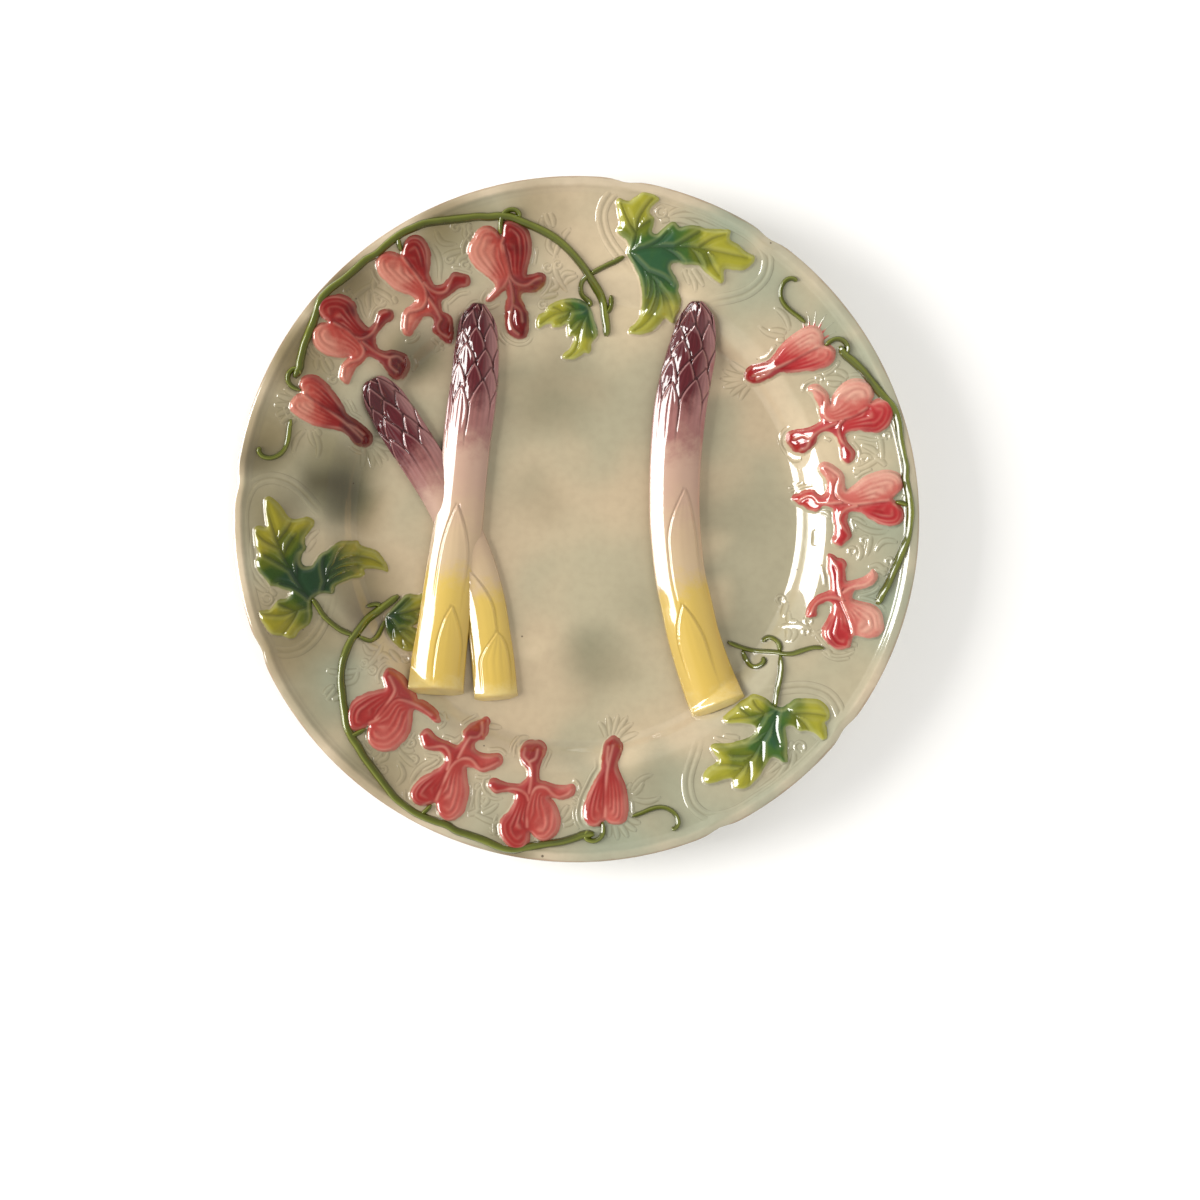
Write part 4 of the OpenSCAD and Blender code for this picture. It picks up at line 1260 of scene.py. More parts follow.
LAST_FLOWERS = {
    Garland.TOP: FlowerDrawing(
        [(42, 93.6), (41.8, 96), (41, 98.5), (39, 100), (36.5, 100.2), (34, 99.2), (32, 98.7), (30, 97.5),
         (28.8, 95.5), (28.3, 93), (28.5, 90), (29.3, 86.5), (30, 83.5), (29.6, 81.8), (28, 81.2),
         (25.5, 80.9), (24, 80.2), (25, 79.3), (27.5, 79), (30, 79.2), (31.8, 78.7), (30.5, 76.5),
         (28, 74.5), (25.5, 72), (23.8, 69.5), (23, 67), (23.6, 64.5), (25, 62.8), (26.8, 62.1),
         (29, 63.3), (31, 65.5), (32.8, 68), (33.3, 70.5), (34, 73), (35.2, 74.3), (36.5, 74),
         (38, 72.6), (40, 71.6), (42.5, 71.7), (44.5, 72.5), (45.4, 74), (44.3, 75.8), (42, 76.8),
         (40.4, 78), (41.5, 79.3), (44, 80.8), (46.5, 82.8), (48.5, 85), (50, 88), (50.3, 90.5),
         (49.5, 93.5), (48, 95.8), (46, 96.7), (44, 95.5)],
        [[(42, 92.5), (40, 91), (38, 87), (36.5, 83.5), (35, 81), (32, 80), (28.5, 79.6), (25.5, 80)],
         [(40.5, 90.8), (38.2, 86), (36.2, 82), (35.8, 79), (37, 76.5), (39, 75.2), (42, 74.8), (44, 74)],
         [(35, 80.4), (33.2, 77), (30.6, 73.6)], [(30.6, 73.6), (27, 71), (25.2, 67.4), (25.6, 64.4)],
         [(30.6, 73.6), (31.4, 70.4), (29.6, 67)]],
        light=(33, 93), dark=(45, 88), tail=(28, 67)),
    Garland.BOTTOM: FlowerDrawing(
        [(42.2, 93.8), (41.8, 96), (41, 98), (39.5, 99.5), (37, 100.5), (34, 100.3), (31.5, 99), (30, 97),
         (29, 95), (28.3, 92), (28.2, 90), (28.9, 87), (29.8, 84.5), (29.5, 83), (28, 82.8), (25.5, 83.2),
         (23, 84), (20.8, 84.5), (19.6, 83.8), (20.2, 82.3), (22, 81), (24.5, 80), (27.5, 79.3),
         (29.8, 79.6), (31, 78.3), (33.5, 76.3), (35.5, 75), (38, 73.6), (40.5, 73), (43, 72.7),
         (43.8, 74), (43.8, 76), (42.5, 77.8), (41.6, 79.6), (43.5, 81), (46.5, 83), (48.5, 85),
         (50, 87), (50.8, 89.5), (50.5, 92.5), (49.3, 95), (47.5, 97), (45.5, 96.8), (43.5, 95.5)],
        [[(42, 92.5), (39.6, 90), (38, 86.5), (36.8, 83), (35, 81.4), (31.6, 81), (27.4, 81.4), (23, 82.6)],
         [(40.6, 90.6), (39.4, 86), (38.2, 82), (38, 79), (39.6, 77), (41.6, 75.2)]],
        light=(34, 94), dark=(46, 89), tail=(23, 82)),
    Garland.RIGHT: FlowerDrawing(
        [(43, 91.3), (44.5, 94), (46, 97.5), (48.5, 99.8), (52, 100.3), (55.5, 99.7), (57.5, 97),
         (57.3, 93.5), (56, 90.3), (57, 88.8), (59.5, 87.5), (60, 85), (59.5, 82.5), (57.5, 80.5),
         (55, 79.3), (52.5, 79.2), (50.5, 80.3), (48.5, 82), (46.5, 83.5), (44, 84), (42.8, 82.6),
         (43, 80.5), (43.6, 79), (45, 78.3), (46.8, 77.8), (47.3, 76.2), (46.8, 74.8), (45, 75.2),
         (43, 76.3), (41.3, 78), (40, 80), (39.4, 82.5), (38.8, 84.2), (37.5, 84.7), (34, 85), (31, 84.8),
         (28.5, 85.3), (26.3, 85.8), (26.8, 87.3), (28, 88.3), (28.8, 90.3), (30.5, 91), (33, 90.3),
         (35.5, 89.9), (36.6, 90.4), (36.8, 92.5), (36.5, 95), (36, 97), (34.8, 98.8), (34, 100),
         (35.5, 100.9), (37.5, 100.7), (39.3, 99), (40, 96.5), (40, 94), (40.5, 92.3)],
        [[(55.5, 89.6), (51, 89.4), (46, 88.4), (42, 87.6), (37, 87.4), (32.5, 88), (28.4, 87)],
         [(42.4, 88), (40.9, 83.5), (42, 79.2), (45.6, 76.3)],
         [(40, 88.6), (38.6, 92), (38.4, 96.5), (36.6, 99.6)]],
        light=(52, 95), dark=(55, 84), tail=(29, 87.5)),
}

LEAF_TOP_RIBS: list[Line] = [
    [(74.2, 61.6), (76.7, 62.3), (80, 65), (83.2, 67.8), (87.1, 69.3), (91.2, 70.1)],
    [(79.5, 64.7), (79.8, 68.6), (80.7, 72.6), (81.8, 75.7)],
    [(80.5, 65.3), (83.7, 65.1), (86.5, 64.8)],
]
LEAF_SIDE_RIBS: list[Line] = [
    [(73.8, 61.2), (78.6, 58.8), (82.9, 55.8), (86.9, 52.4), (90.9, 49.1), (94.5, 45.2), (97.9, 41.1),
     (101.6, 36.4), (104.2, 33.2)],
    [(78.6, 58.8), (83.6, 57.6), (88.4, 58)],
    [(86.9, 52.4), (92.2, 51.5), (97, 50.8)],
    [(93.2, 46.8), (98.7, 46.2), (103.2, 44.4)],
    [(83.9, 54.6), (85.4, 50.5), (85.8, 46.6)],
    [(94.8, 44.6), (93.3, 39.5), (92.9, 34.8)],
    [(90.9, 49.1), (91.1, 45.9), (90.4, 41.6)],
]
LEAF_LOW_RIBS: list[Line] = [
    [(73.8, 60.8), (73.9, 56.7), (74.4, 52), (74.5, 46.6), (72.4, 42.9), (69, 40.3), (63.2, 38.9),
     (58.7, 39.4)],
    [(74, 54), (71.9, 49.2), (69.4, 46.4)],
    [(74.7, 49.8), (71.6, 45.6), (66.7, 42.8)],
    [(74, 45.6), (74.1, 40.8), (73, 37), (71.9, 34.2)],
    [(74.7, 51.5), (77.2, 47.1), (78, 43.6)],
]
LEAF_TIPS: list[Triple] = [
    (82, 76, 15), (92, 71, 13), (105, 43, 18), (105, 33, 22), (92, 33, 12), (57, 39, 18), (71, 33, 11),
]

CARTOUCHE_LEAVES = {
    Garland.TOP: LeafDrawing(
        [(73, 61.8), (74.5, 62.8), (75.2, 65), (74.5, 68), (75, 69.8), (77, 70.7), (78.3, 73), (79.8, 75.5),
         (80.8, 77.4), (82.3, 77.6), (83, 76.3), (84.5, 74.7), (87, 74.5), (90, 74.3), (91.8, 72.5),
         (93, 70.3), (92.8, 68.3), (90.5, 68.3), (88, 67.8), (87.3, 66.5), (87.4, 65), (86.3, 63.3),
         (84, 61.6), (85, 59.8), (88, 59.9), (91, 59.8), (92.2, 58.8), (92.5, 56.5), (95, 55.2),
         (97.5, 53), (99, 50.5), (101.5, 48), (104, 45.8), (105.2, 44.5), (103.3, 42), (104.5, 38.5),
         (105, 35), (106.3, 32.3), (105, 30.8), (102.5, 30.4), (100, 31), (98, 32.8), (95.5, 35.2),
         (93, 32.5), (91.5, 32.3), (90.5, 35), (89.8, 38.5), (89.5, 41.5), (88, 43.5), (85.5, 45.5),
         (84.5, 47.3), (82.8, 48.4), (81.2, 47.2), (80.3, 42), (78.5, 39.8), (77.5, 37), (75.5, 35),
         (73, 34), (70.8, 32.8), (69.5, 35.8), (67, 35.4), (63, 35.2), (60, 36.3), (57.5, 38.3),
         (56.4, 39.8), (57.5, 41), (60, 41.2), (63, 42), (65.2, 44), (67.5, 46.5), (69.5, 49.5), (71, 53),
         (71.8, 57), (72.2, 60)],
        [*LEAF_TOP_RIBS, *LEAF_SIDE_RIBS, *LEAF_LOW_RIBS], LEAF_TIPS),
    Garland.BOTTOM: LeafDrawing(
        [(76.8, 60), (76, 62.5), (74.8, 65), (74.5, 67.5), (75.5, 69.5), (76.8, 71.5), (77.5, 74),
         (79, 75.2), (81.5, 75.2), (84.5, 76), (86.5, 75.5), (88.5, 74), (90.5, 72.5), (92, 70),
         (90.5, 69), (88.8, 68), (87.8, 64.8), (87, 63.8), (85, 62.3), (84.6, 60), (87, 60), (90, 60),
         (92, 60.3), (93.8, 59), (95.8, 58), (98, 56.5), (99.5, 54), (99.5, 51.5), (101.5, 49), (103, 46),
         (104, 43.5), (103, 42.3), (100.5, 41.5), (101.5, 39), (103, 36), (104.3, 32.8), (103.5, 31.5),
         (101, 32), (98, 33.5), (95.5, 35.3), (93.5, 35.8), (91.5, 35), (89, 33.4), (86.5, 33.5),
         (85.8, 35), (86.5, 38), (86.8, 41), (85.3, 43.5), (85.8, 46), (85.3, 48.5), (83.5, 49.8),
         (81.3, 48.6), (80.8, 47), (80, 44), (78, 41.5), (77, 39.3), (75.5, 37.3), (72.5, 35.8),
         (70.3, 35), (69, 36), (66.5, 36), (63, 35.8), (60.5, 37), (57.8, 39), (56.5, 41.2), (59, 41.5),
         (62, 42.2), (64.5, 43.5), (63.8, 45), (64.5, 46.5), (67, 48), (69.5, 50.5), (71.2, 52.5),
         (71, 55.2), (74, 56.3), (76, 57.8)],
        [*LEAF_TOP_RIBS, *LEAF_SIDE_RIBS, *LEAF_LOW_RIBS], LEAF_TIPS),
    Garland.RIGHT: LeafDrawing(
        [(77, 61), (76, 63.5), (74.8, 66), (75, 68.5), (75.5, 71.5), (76.3, 74), (78.5, 76), (81, 76.8),
         (83.2, 76.2), (84.5, 74.8), (87, 75), (89.5, 74.8), (90.3, 73), (89.3, 71.8), (87.3, 70),
         (86.3, 67.8), (86, 65.5), (84, 63.4), (84, 61.2), (87, 60.8), (90, 60.5), (93, 60), (95.5, 59.8),
         (96, 58), (94.5, 56.5), (93.8, 54.5), (96, 51.8), (99, 49.5), (101, 47), (102.5, 44.5),
         (102.8, 42), (101.8, 39.8), (99, 39.5), (98.8, 37), (99.3, 34), (99.2, 31), (98, 29.8),
         (96, 30), (94, 32), (92.8, 34.5), (91.5, 36), (89.5, 35), (87, 34.3), (86, 35.5), (86.3, 39),
         (86.3, 43), (86, 46.5), (85, 49), (83.5, 50.8), (81.7, 49.8), (80.5, 46.5), (80, 43.5),
         (79.3, 40.8), (77.5, 40.2), (76.5, 41.5), (75, 44), (73, 47), (72, 49.5), (71, 51.5),
         (71.5, 53.5), (73, 55.8), (75.4, 58)],
        [*LEAF_TOP_RIBS, *LEAF_SIDE_RIBS, [(76.4, 59.6), (77.6, 55), (78, 49), (77.9, 42.6)],
         [(77.6, 55), (75, 52.6), (72.6, 51.6)], [(77.9, 49.6), (75.6, 47.6), (74, 46.4)],
         [(77.6, 55), (81, 52.4), (83, 50.4)]], [*LEAF_TIPS[:5], (78, 40, 14), (71, 51, 9)]),
}

LEAFLET = LeafDrawing(
    [(51.4, 56.2), (50.5, 59.5), (48.5, 62), (46, 63.8), (43, 65), (40, 65.4), (37.5, 64.6), (35, 65),
     (33, 63.5), (32.3, 62), (32.8, 61.2), (35, 60.8), (36.7, 59.8), (36.6, 58.4), (38.6, 56.9), (41, 56.4),
     (40.4, 55.2), (38.9, 53), (39.3, 52), (40.2, 51.6), (39.8, 50.5), (38.2, 49.6), (36, 48.9),
     (34, 48.8), (32.7, 48.5), (32.6, 47.3), (33.8, 46), (35.5, 44.9), (37.5, 44.5), (39.5, 44.3),
     (40.8, 43.3), (42, 43.9), (43.5, 45.3), (46.5, 46), (47.8, 47), (48.5, 48.5), (49.6, 51.2)],
    [[(50.8, 56), (48.4, 57.4), (46.2, 58.7), (42.9, 60.5), (39.3, 61.9), (34.4, 62.2)],
     [(47.1, 58.2), (46.7, 60.6), (46, 62.6)], [(42.9, 60.5), (42.3, 62.4), (41.4, 64)],
     [(45.3, 59.2), (43.1, 57.9), (40, 58)],
     [(50.8, 56), (49, 54.4), (46, 53.2), (43, 51), (39.8, 48.4), (37.4, 47), (34, 46.9)],
     [(47.8, 54), (44.9, 54.8), (42, 54.6)], [(49.6, 54.7), (47.4, 50.8), (45.6, 46.9)],
     [(43, 51.2), (41.4, 51.4)]],
    [(33, 62, 15), (33, 47.5, 16), (41, 64.5, 8), (41, 44, 8)], height=2.0)

STEM: Line = [
    (-45.5, 100.5), (-42, 102.2), (-40, 104), (-36, 107), (-32, 109.3), (-28, 111.5), (-25, 113.4),
    (-21, 115.8), (-16, 116.6), (-10, 116.4), (-4, 116.6), (0, 116.8), (4, 116.1), (8, 116.3),
    (12, 116.3), (16, 116), (20, 115), (24, 113.8), (28, 111.5), (32, 109), (36, 106.5), (40, 104),
    (43, 101.5), (46, 99.5),
]
STEM_ENDS: dict[Garland, Line] = {
    Garland.TOP: [(49, 96.5), (51, 93), (53, 89.5), (55, 85.5), (56.5, 81.5), (57.5, 77), (58, 72), (58, 67),
                  (57.7, 64), (57.3, 60), (57, 57), (56, 54), (54.5, 51.5), (53, 49), (51.5, 46.5),
                  (49.5, 44.2)],
    Garland.BOTTOM: [(49, 96.5), (51, 93), (53, 89.8), (55, 86), (57, 82), (58.5, 77), (59, 72), (58.8, 68),
                     (58, 65), (57.3, 62), (56.5, 59), (54.5, 55.5), (52, 51.5), (49.5, 47.5)],
    Garland.RIGHT: [],
}
TENDRIL: Line = [
    (-55.5, 90.3), (-58, 88.2), (-60.5, 85.8), (-63, 84), (-65.5, 83.2), (-68, 83.4), (-70, 84.4),
    (-71.3, 86), (-71.5, 87.6), (-70.9, 88.8), (-69.9, 88.9),
]
STALKS: dict[Garland, Line] = {
    Garland.TOP: [(58.4, 64.2), (62, 63.5), (65, 62.8), (68, 62), (71.5, 61.3)],
    Garland.BOTTOM: [(58.4, 66), (63, 66), (67, 65), (71, 63.3), (74, 61), (76.8, 59)],
    Garland.RIGHT: [(58.4, 63.6), (64, 62.8), (69, 61), (73, 59.5), (76, 58.8)],
}
BUD_TWIG: Line = [
    (-46.4, 95.6), (-48, 98.6), (-47.9, 101), (-46.2, 102.9), (-43.7, 103.2), (-42.6, 101.8), (-43.4, 100.2),
]
FLOWER_TWIG: Line = [(13.5, 115.5), (12.4, 113.8), (11.4, 111.4)]
TWIGS: dict[Garland, list[Line]] = {
    Garland.TOP: [
        [(42.6, 94.2), (43.6, 96), (46.6, 98.8), (49.4, 99.2), (51.6, 97.8), (51.9, 95.8), (50.8, 94.4)],
        [(58, 64.5), (55, 64.3), (53, 63), (52, 61), (52.3, 59), (52.6, 57.3), (51.6, 56.1)],
        [(54.6, 50.6), (56.6, 51), (58.4, 52.4), (59.8, 54.4)],
    ],
    Garland.BOTTOM: [
        [(47, 99.8), (45, 97.8), (42.6, 95)],
        [(57, 65.8), (53, 66), (51.3, 64), (51, 61.5), (51, 57.5)],
        [(54, 52.8), (56.5, 53.6), (58.6, 55.2)],
    ],
    Garland.RIGHT: [
        [(58.3, 79), (57.5, 75.5), (58, 71), (58.5, 68), (58, 64.5), (57, 62), (56, 57), (55, 53.5),
         (53, 49.5), (51, 46.3)],
        [(57, 63.8), (54, 63.8), (52, 62), (51.8, 60), (53, 58.3)],
        [(55, 51), (58, 51.8), (60.5, 53), (61.2, 55), (60, 57.5), (58, 57.8)],
    ],
}
SCROLL: Line = [
    (70.4, 52), (70.4, 56.5), (70.2, 62), (70.4, 68), (71.6, 73), (74.4, 77.6), (79, 80.2), (84, 80.2),
    (88.8, 75.6), (93.5, 69.8), (98.2, 63), (102.6, 55.4), (106.4, 47.6), (109.6, 40), (110.6, 34),
    (109.6, 28.8), (106, 25.2), (101.5, 24), (96.5, 24.4), (92, 26.2), (88, 28.4), (84, 30.3), (79.6, 31.8),
]


# Sprigs and berries between the flowers, in fine low relief
SPRIGS: list[Line] = [
    [(21, 107.9), (21.1, 105.2), (20.5, 102.3), (19, 99.5), (16.7, 96.9), (14.6, 94)],
    [(25.6, 110.1), (24.4, 106.5), (25.2, 104), (28.5, 101.3)],
    [(23.9, 96), (25.9, 97.1), (28.3, 96.5), (29.9, 95)],
    [(21.1, 101), (23.6, 100.6), (27.1, 99.2), (29.3, 98.1)],
    [(34.2, 105.4), (33.9, 103.4), (32.3, 101.8), (32.7, 98.4)], [(36.6, 104), (34.8, 103), (34.2, 100.3)],
    [(57.5, 89.7), (55.6, 88.1), (55.1, 85.7)],
    [(57.3, 86.7), (56.1, 83.7), (52.9, 81.1), (52.6, 78), (53.6, 75.5)],
    [(47.6, 71.8), (46.9, 68.9), (43.4, 69.5)], [(-4.7, 108.5), (-3.5, 105.8), (-2.1, 101.8), (-2.7, 98.9)],
    [(-1.3, 110.2), (-3.5, 108.7), (-4.8, 106.3)], [(3.7, 79.5), (0.9, 78.9), (-1.8, 78.3)],
    [(22.2, 81.3), (19.7, 82.4), (16.3, 82.4)], [(13.7, 89), (11.3, 87.5), (10.4, 84.9)],
    [(-53.7, 84.5), (-57.8, 83.9), (-60.7, 82.3), (-62.8, 80.1)],
    [(-52.2, 82.7), (-53, 79.3), (-54.8, 76.2), (-57.6, 73.9)],
    [(-53.1, 83.4), (-54.5, 80.6), (-55.2, 77.2)], [(-51, 82.4), (-51.3, 79.3)],
    [(-33.1, 101.4), (-34.5, 98.5), (-35.1, 95.7), (-34.9, 93.6)],
    [(-33.9, 102), (-36.3, 100), (-37.5, 97.6)], [(-32.6, 99.6), (-32.7, 97.1), (-33.5, 94.4)],
    [(-2.7, 108.9), (-7.5, 109.5), (-11.5, 109.4), (-13.9, 108.1)],
    [(-5.9, 108.2), (-8.3, 106.1), (-10.4, 102.7)],
    [(-5, 106.1), (-6.1, 103.8), (-5.6, 101.4), (-3.3, 101.5)], [(-0.9, 101.5), (-1.3, 98.5)],
    [(-9, 82.4), (-9.4, 79.5), (-12.2, 77.8)], [(59.1, 90.7), (58, 87.6), (57.6, 85.2)],
    [(60.5, 89.5), (59.8, 86.8), (58.2, 84.5)], [(59.4, 81.7), (56.9, 79.6), (53.5, 77.7), (51.4, 76.1)],
    [(63, 80.8), (59.2, 80.2), (55.7, 77.9)], [(51.4, 76), (49.2, 72.4), (48.5, 68.9), (48.5, 64.8)],
    [(49.5, 69.5), (51.3, 70), (52.7, 69.3), (54.7, 67.5)],
    [(49, 67.2), (50.7, 67.9), (52.6, 67.5), (54.7, 66.5)], [(40.1, 69.5), (43, 68), (45.7, 66.5)],
    [(91.8, 62.6), (94.8, 62.1), (97.7, 60.7), (99.9, 58.5)],
    [(91.5, 61.6), (95.9, 59.4), (100.1, 55.4), (102.7, 50.3), (104.3, 46.4)],
    [(90.7, 61.2), (94.1, 58.8), (96.4, 55.8), (98.6, 51.9)], [(88.4, 62.6), (90.5, 61.8), (91.3, 60.5)],
    [(84.8, 45), (84, 41.5), (83, 39)], [(85.8, 43.6), (85.1, 39.3), (83.1, 35.6)],
    [(87.3, 42.9), (87, 39.1), (86.5, 35.3)],
]
BERRIES: list[Triple] = [
    (31.6, 106.1, 1.1), (23, 99.1, 1.3), (26.1, 94.1, 1.3), (48, 75.2, 1.3), (51.5, 73.8, 1.1),
    (39, 67.4, 1.3), (-5.4, 103.4, 1.2), (-35.4, 92, 1.1), (-11.8, 112.3, 1), (91, 64.9, 1.8),
]

# Fine hairs at the head and the tail of each bud
HEAD_HAIRS: list[Line] = [
    [(-53.5, 89.6), (-56.4, 89.4), (-58.6, 88.4)], [(-53.7, 91.2), (-57, 91.6), (-59.5, 91.2)],
    [(-53.5, 92.8), (-56.6, 93.9), (-59.1, 94.3)], [(-52.5, 94.2), (-55, 96), (-57.1, 97.7)],
    [(-50.8, 95), (-52.6, 97.4), (-54, 99.8)], [(-48.8, 95.2), (-50, 98), (-50.6, 100.2)],
]
TAIL_HAIRS: list[Line] = [
    [(-41, 67.6), (-42.4, 63.4), (-44.8, 59.8)], [(-40.4, 67.2), (-41, 62.4), (-42, 58.2)],
    [(-39.6, 67.2), (-39, 62.6), (-38.6, 58.8)], [(-38.8, 67.6), (-37, 63.6), (-35, 60.6)],
    [(-42, 68.4), (-44.8, 65), (-47.8, 62.4)], [(-38, 68.8), (-35.6, 65.8), (-32.8, 64)],
]


@dataclass
class Scale:
    """One scale or bract on a spear, in drawing units down the spear and radians round it."""

    tip: float
    turn: float
    half: float
    point: float
    tall: float
    thick: float
    drift: float = 0.0
    belly: float = 1.8

    def over(self, down: Points, turn: Points, radius: Points) -> tuple[Points, Points, Points]:
        """Measures places on the spear against the scale.

        Args:
            down: How far down the spear they are.
            turn: How far round it they are.
            radius: The spear's half width there.

        Returns:
            How far below the scale's tip they are, how far inside its edge, and how far to its side, -1 to 1.
        """
        below = down - self.tip
        spread = 1 - (1 - np.clip(below / self.point, 0, 1)) ** self.belly
        middle = self.turn + self.drift * ease(0, self.point, below)
        edge = (spread * self.half - np.abs(turn - middle)) * radius
        aside = (turn - middle) / np.maximum(spread * self.half, 0.05)
        return below, np.where(below < 0, np.minimum(edge, below), edge), aside


@dataclass
class SpearDrawing:
    """One asparagus spear: its middle from tip to cut end, its half widths and its bracts."""

    name: str
    line: Line
    widths: list[float]
    height: float
    bracts: list[Scale]
    rows: int = 5
    row_step: float = 6.6
    first_row: float = 1.6
    row_stray: float = 1.3
    column_step: float = 0.72
    column_stray: float = 0.07
    thick: float = 0.55

    def scales(self) -> list[Scale]:
        """Returns the scales from the tip down, and then the bracts."""
        made = [Scale(tip=0.2, turn=0.15, half=0.55, point=5.0, tall=12.0, thick=0.5)]
        for row in range(self.rows):
            last = row >= self.rows - 2
            first = -2 if row % 2 else -2.5
            for column in range(5 if row % 2 else 6):
                stray = math.sin(2.3 * column + 1.7 * row)
                swing = math.sin(5.1 * column + 2.9 * row)
                made.append(Scale(
                    tip=self.first_row + self.row_step * row + self.row_stray * stray,
                    turn=self.column_step * (first + column) + self.column_stray * swing,
                    half=self.column_step * (0.54 + 0.05 * math.sin(4.4 * column + row)),
                    point=10.0 if last else 7.4, tall=26.0 if last else 15.0, thick=self.thick))
        return [*made, *self.bracts]


SPEARS = [
    SpearDrawing(
        "front_spear",
        [(-34.4, 76.6), (-34.5, 75), (-34.7, 72.5), (-35, 69), (-35.5, 60), (-36.2, 50), (-37.5, 40),
         (-38.8, 30), (-39.8, 20), (-40.8, 10), (-41.8, 0), (-43.3, -10), (-44.8, -20), (-46.2, -30),
         (-47.6, -40), (-49, -50), (-50, -62)],
        [1.9, 3.5, 5.5, 7, 8.2, 8.6, 8.8, 8.7, 8.6, 8.6, 8.8, 9, 9.2, 9.3, 9.5, 10, 10],
        7.4,
        [Scale(71.5, 0.07, 0.5, 20.0, 46.0, 0.38, -0.12), Scale(107.5, -0.24, 0.42, 15.0, 34.0, 0.38, -0.1)]),
    SpearDrawing(
        "crossing_spear",
        [(-72, 49.6), (-71.1, 48), (-68.3, 43.2), (-63.9, 35.5), (-58.5, 27.1), (-53.3, 19), (-48, 10),
         (-43, 0), (-38.5, -10), (-35, -20), (-32.5, -30), (-31, -40), (-29.7, -50), (-28.5, -64)],
        [2.6, 4.9, 7.2, 8.1, 8.1, 7.9, 7.7, 7.5, 7.5, 7.5, 7.5, 7.6, 7.8, 8],
        5.9,
        [Scale(70.5, 0.55, 0.6, 22.0, 50.0, 0.36, -0.3), Scale(99.5, -0.36, 0.62, 11.0, 26.0, 0.38, 0.26)],
        rows=4),
    SpearDrawing(
        "right_spear",
        [(42.4, 77), (42.4, 75.4), (42.4, 73), (42.2, 69), (41, 60), (38.8, 50), (36.9, 40), (35.9, 30),
         (35.2, 20), (34.9, 10), (35, 0), (35.8, -10), (37, -20), (39.2, -30), (41.4, -40), (44.4, -50),
         (48, -60), (50.8, -67)],
        [1.9, 3.6, 5.5, 7.2, 8.9, 9.4, 9.6, 9.5, 9.3, 9.2, 9.2, 9.2, 9.2, 9.3, 9.4, 9.6, 10, 10],
        7.4,
        [Scale(66.5, -0.34, 0.5, 20.0, 48.0, 0.38, 0.12), Scale(107.5, 0.14, 0.45, 15.0, 36.0, 0.38)]),
]


@dataclass
class PlateBody:
    """The turned body of the plate."""

    plate: PlateForm
    glaze: Glaze
    steps: int = 360
    weld: float = 1e-4
    dips_range: Place = (108.0, 118.0)

    def build(self) -> bpy.types.Object:
        """Spins the section, draws the rim in at its dips, and returns the body."""
        bm = bmesh.new()
        points = [bm.verts.new((r, 0, z)) for r, z in self.plate.profile()]
        edges = [bm.edges.new(pair) for pair in zip(points, points[1:])]
        bmesh.ops.spin(bm, geom=[*points, *edges], cent=(0, 0, 0), axis=(0, 0, 1), angle=math.tau,
                       steps=self.steps, use_merge=True)
        bmesh.ops.remove_doubles(bm, verts=bm.verts[:], dist=self.weld)
        bmesh.ops.recalc_face_normals(bm, faces=bm.faces[:])
        places = np.array([v.co for v in bm.verts])
        radius = np.hypot(places[:, 0], places[:, 1])
        turn = np.arctan2(places[:, 1], places[:, 0])
        share = ease(*self.dips_range, radius)
        pull = 1 - self.plate.rim_shift(turn) * share / np.maximum(radius, 1)
        places[:, :2] *= pull[:, None]
        piece = new_piece("plate_earthenware", bm, self.glaze, "plate_body")
        piece.data.vertices.foreach_set("co", (places * self.plate.scale).astype(np.float32).ravel())
        piece.data.update()
        return piece


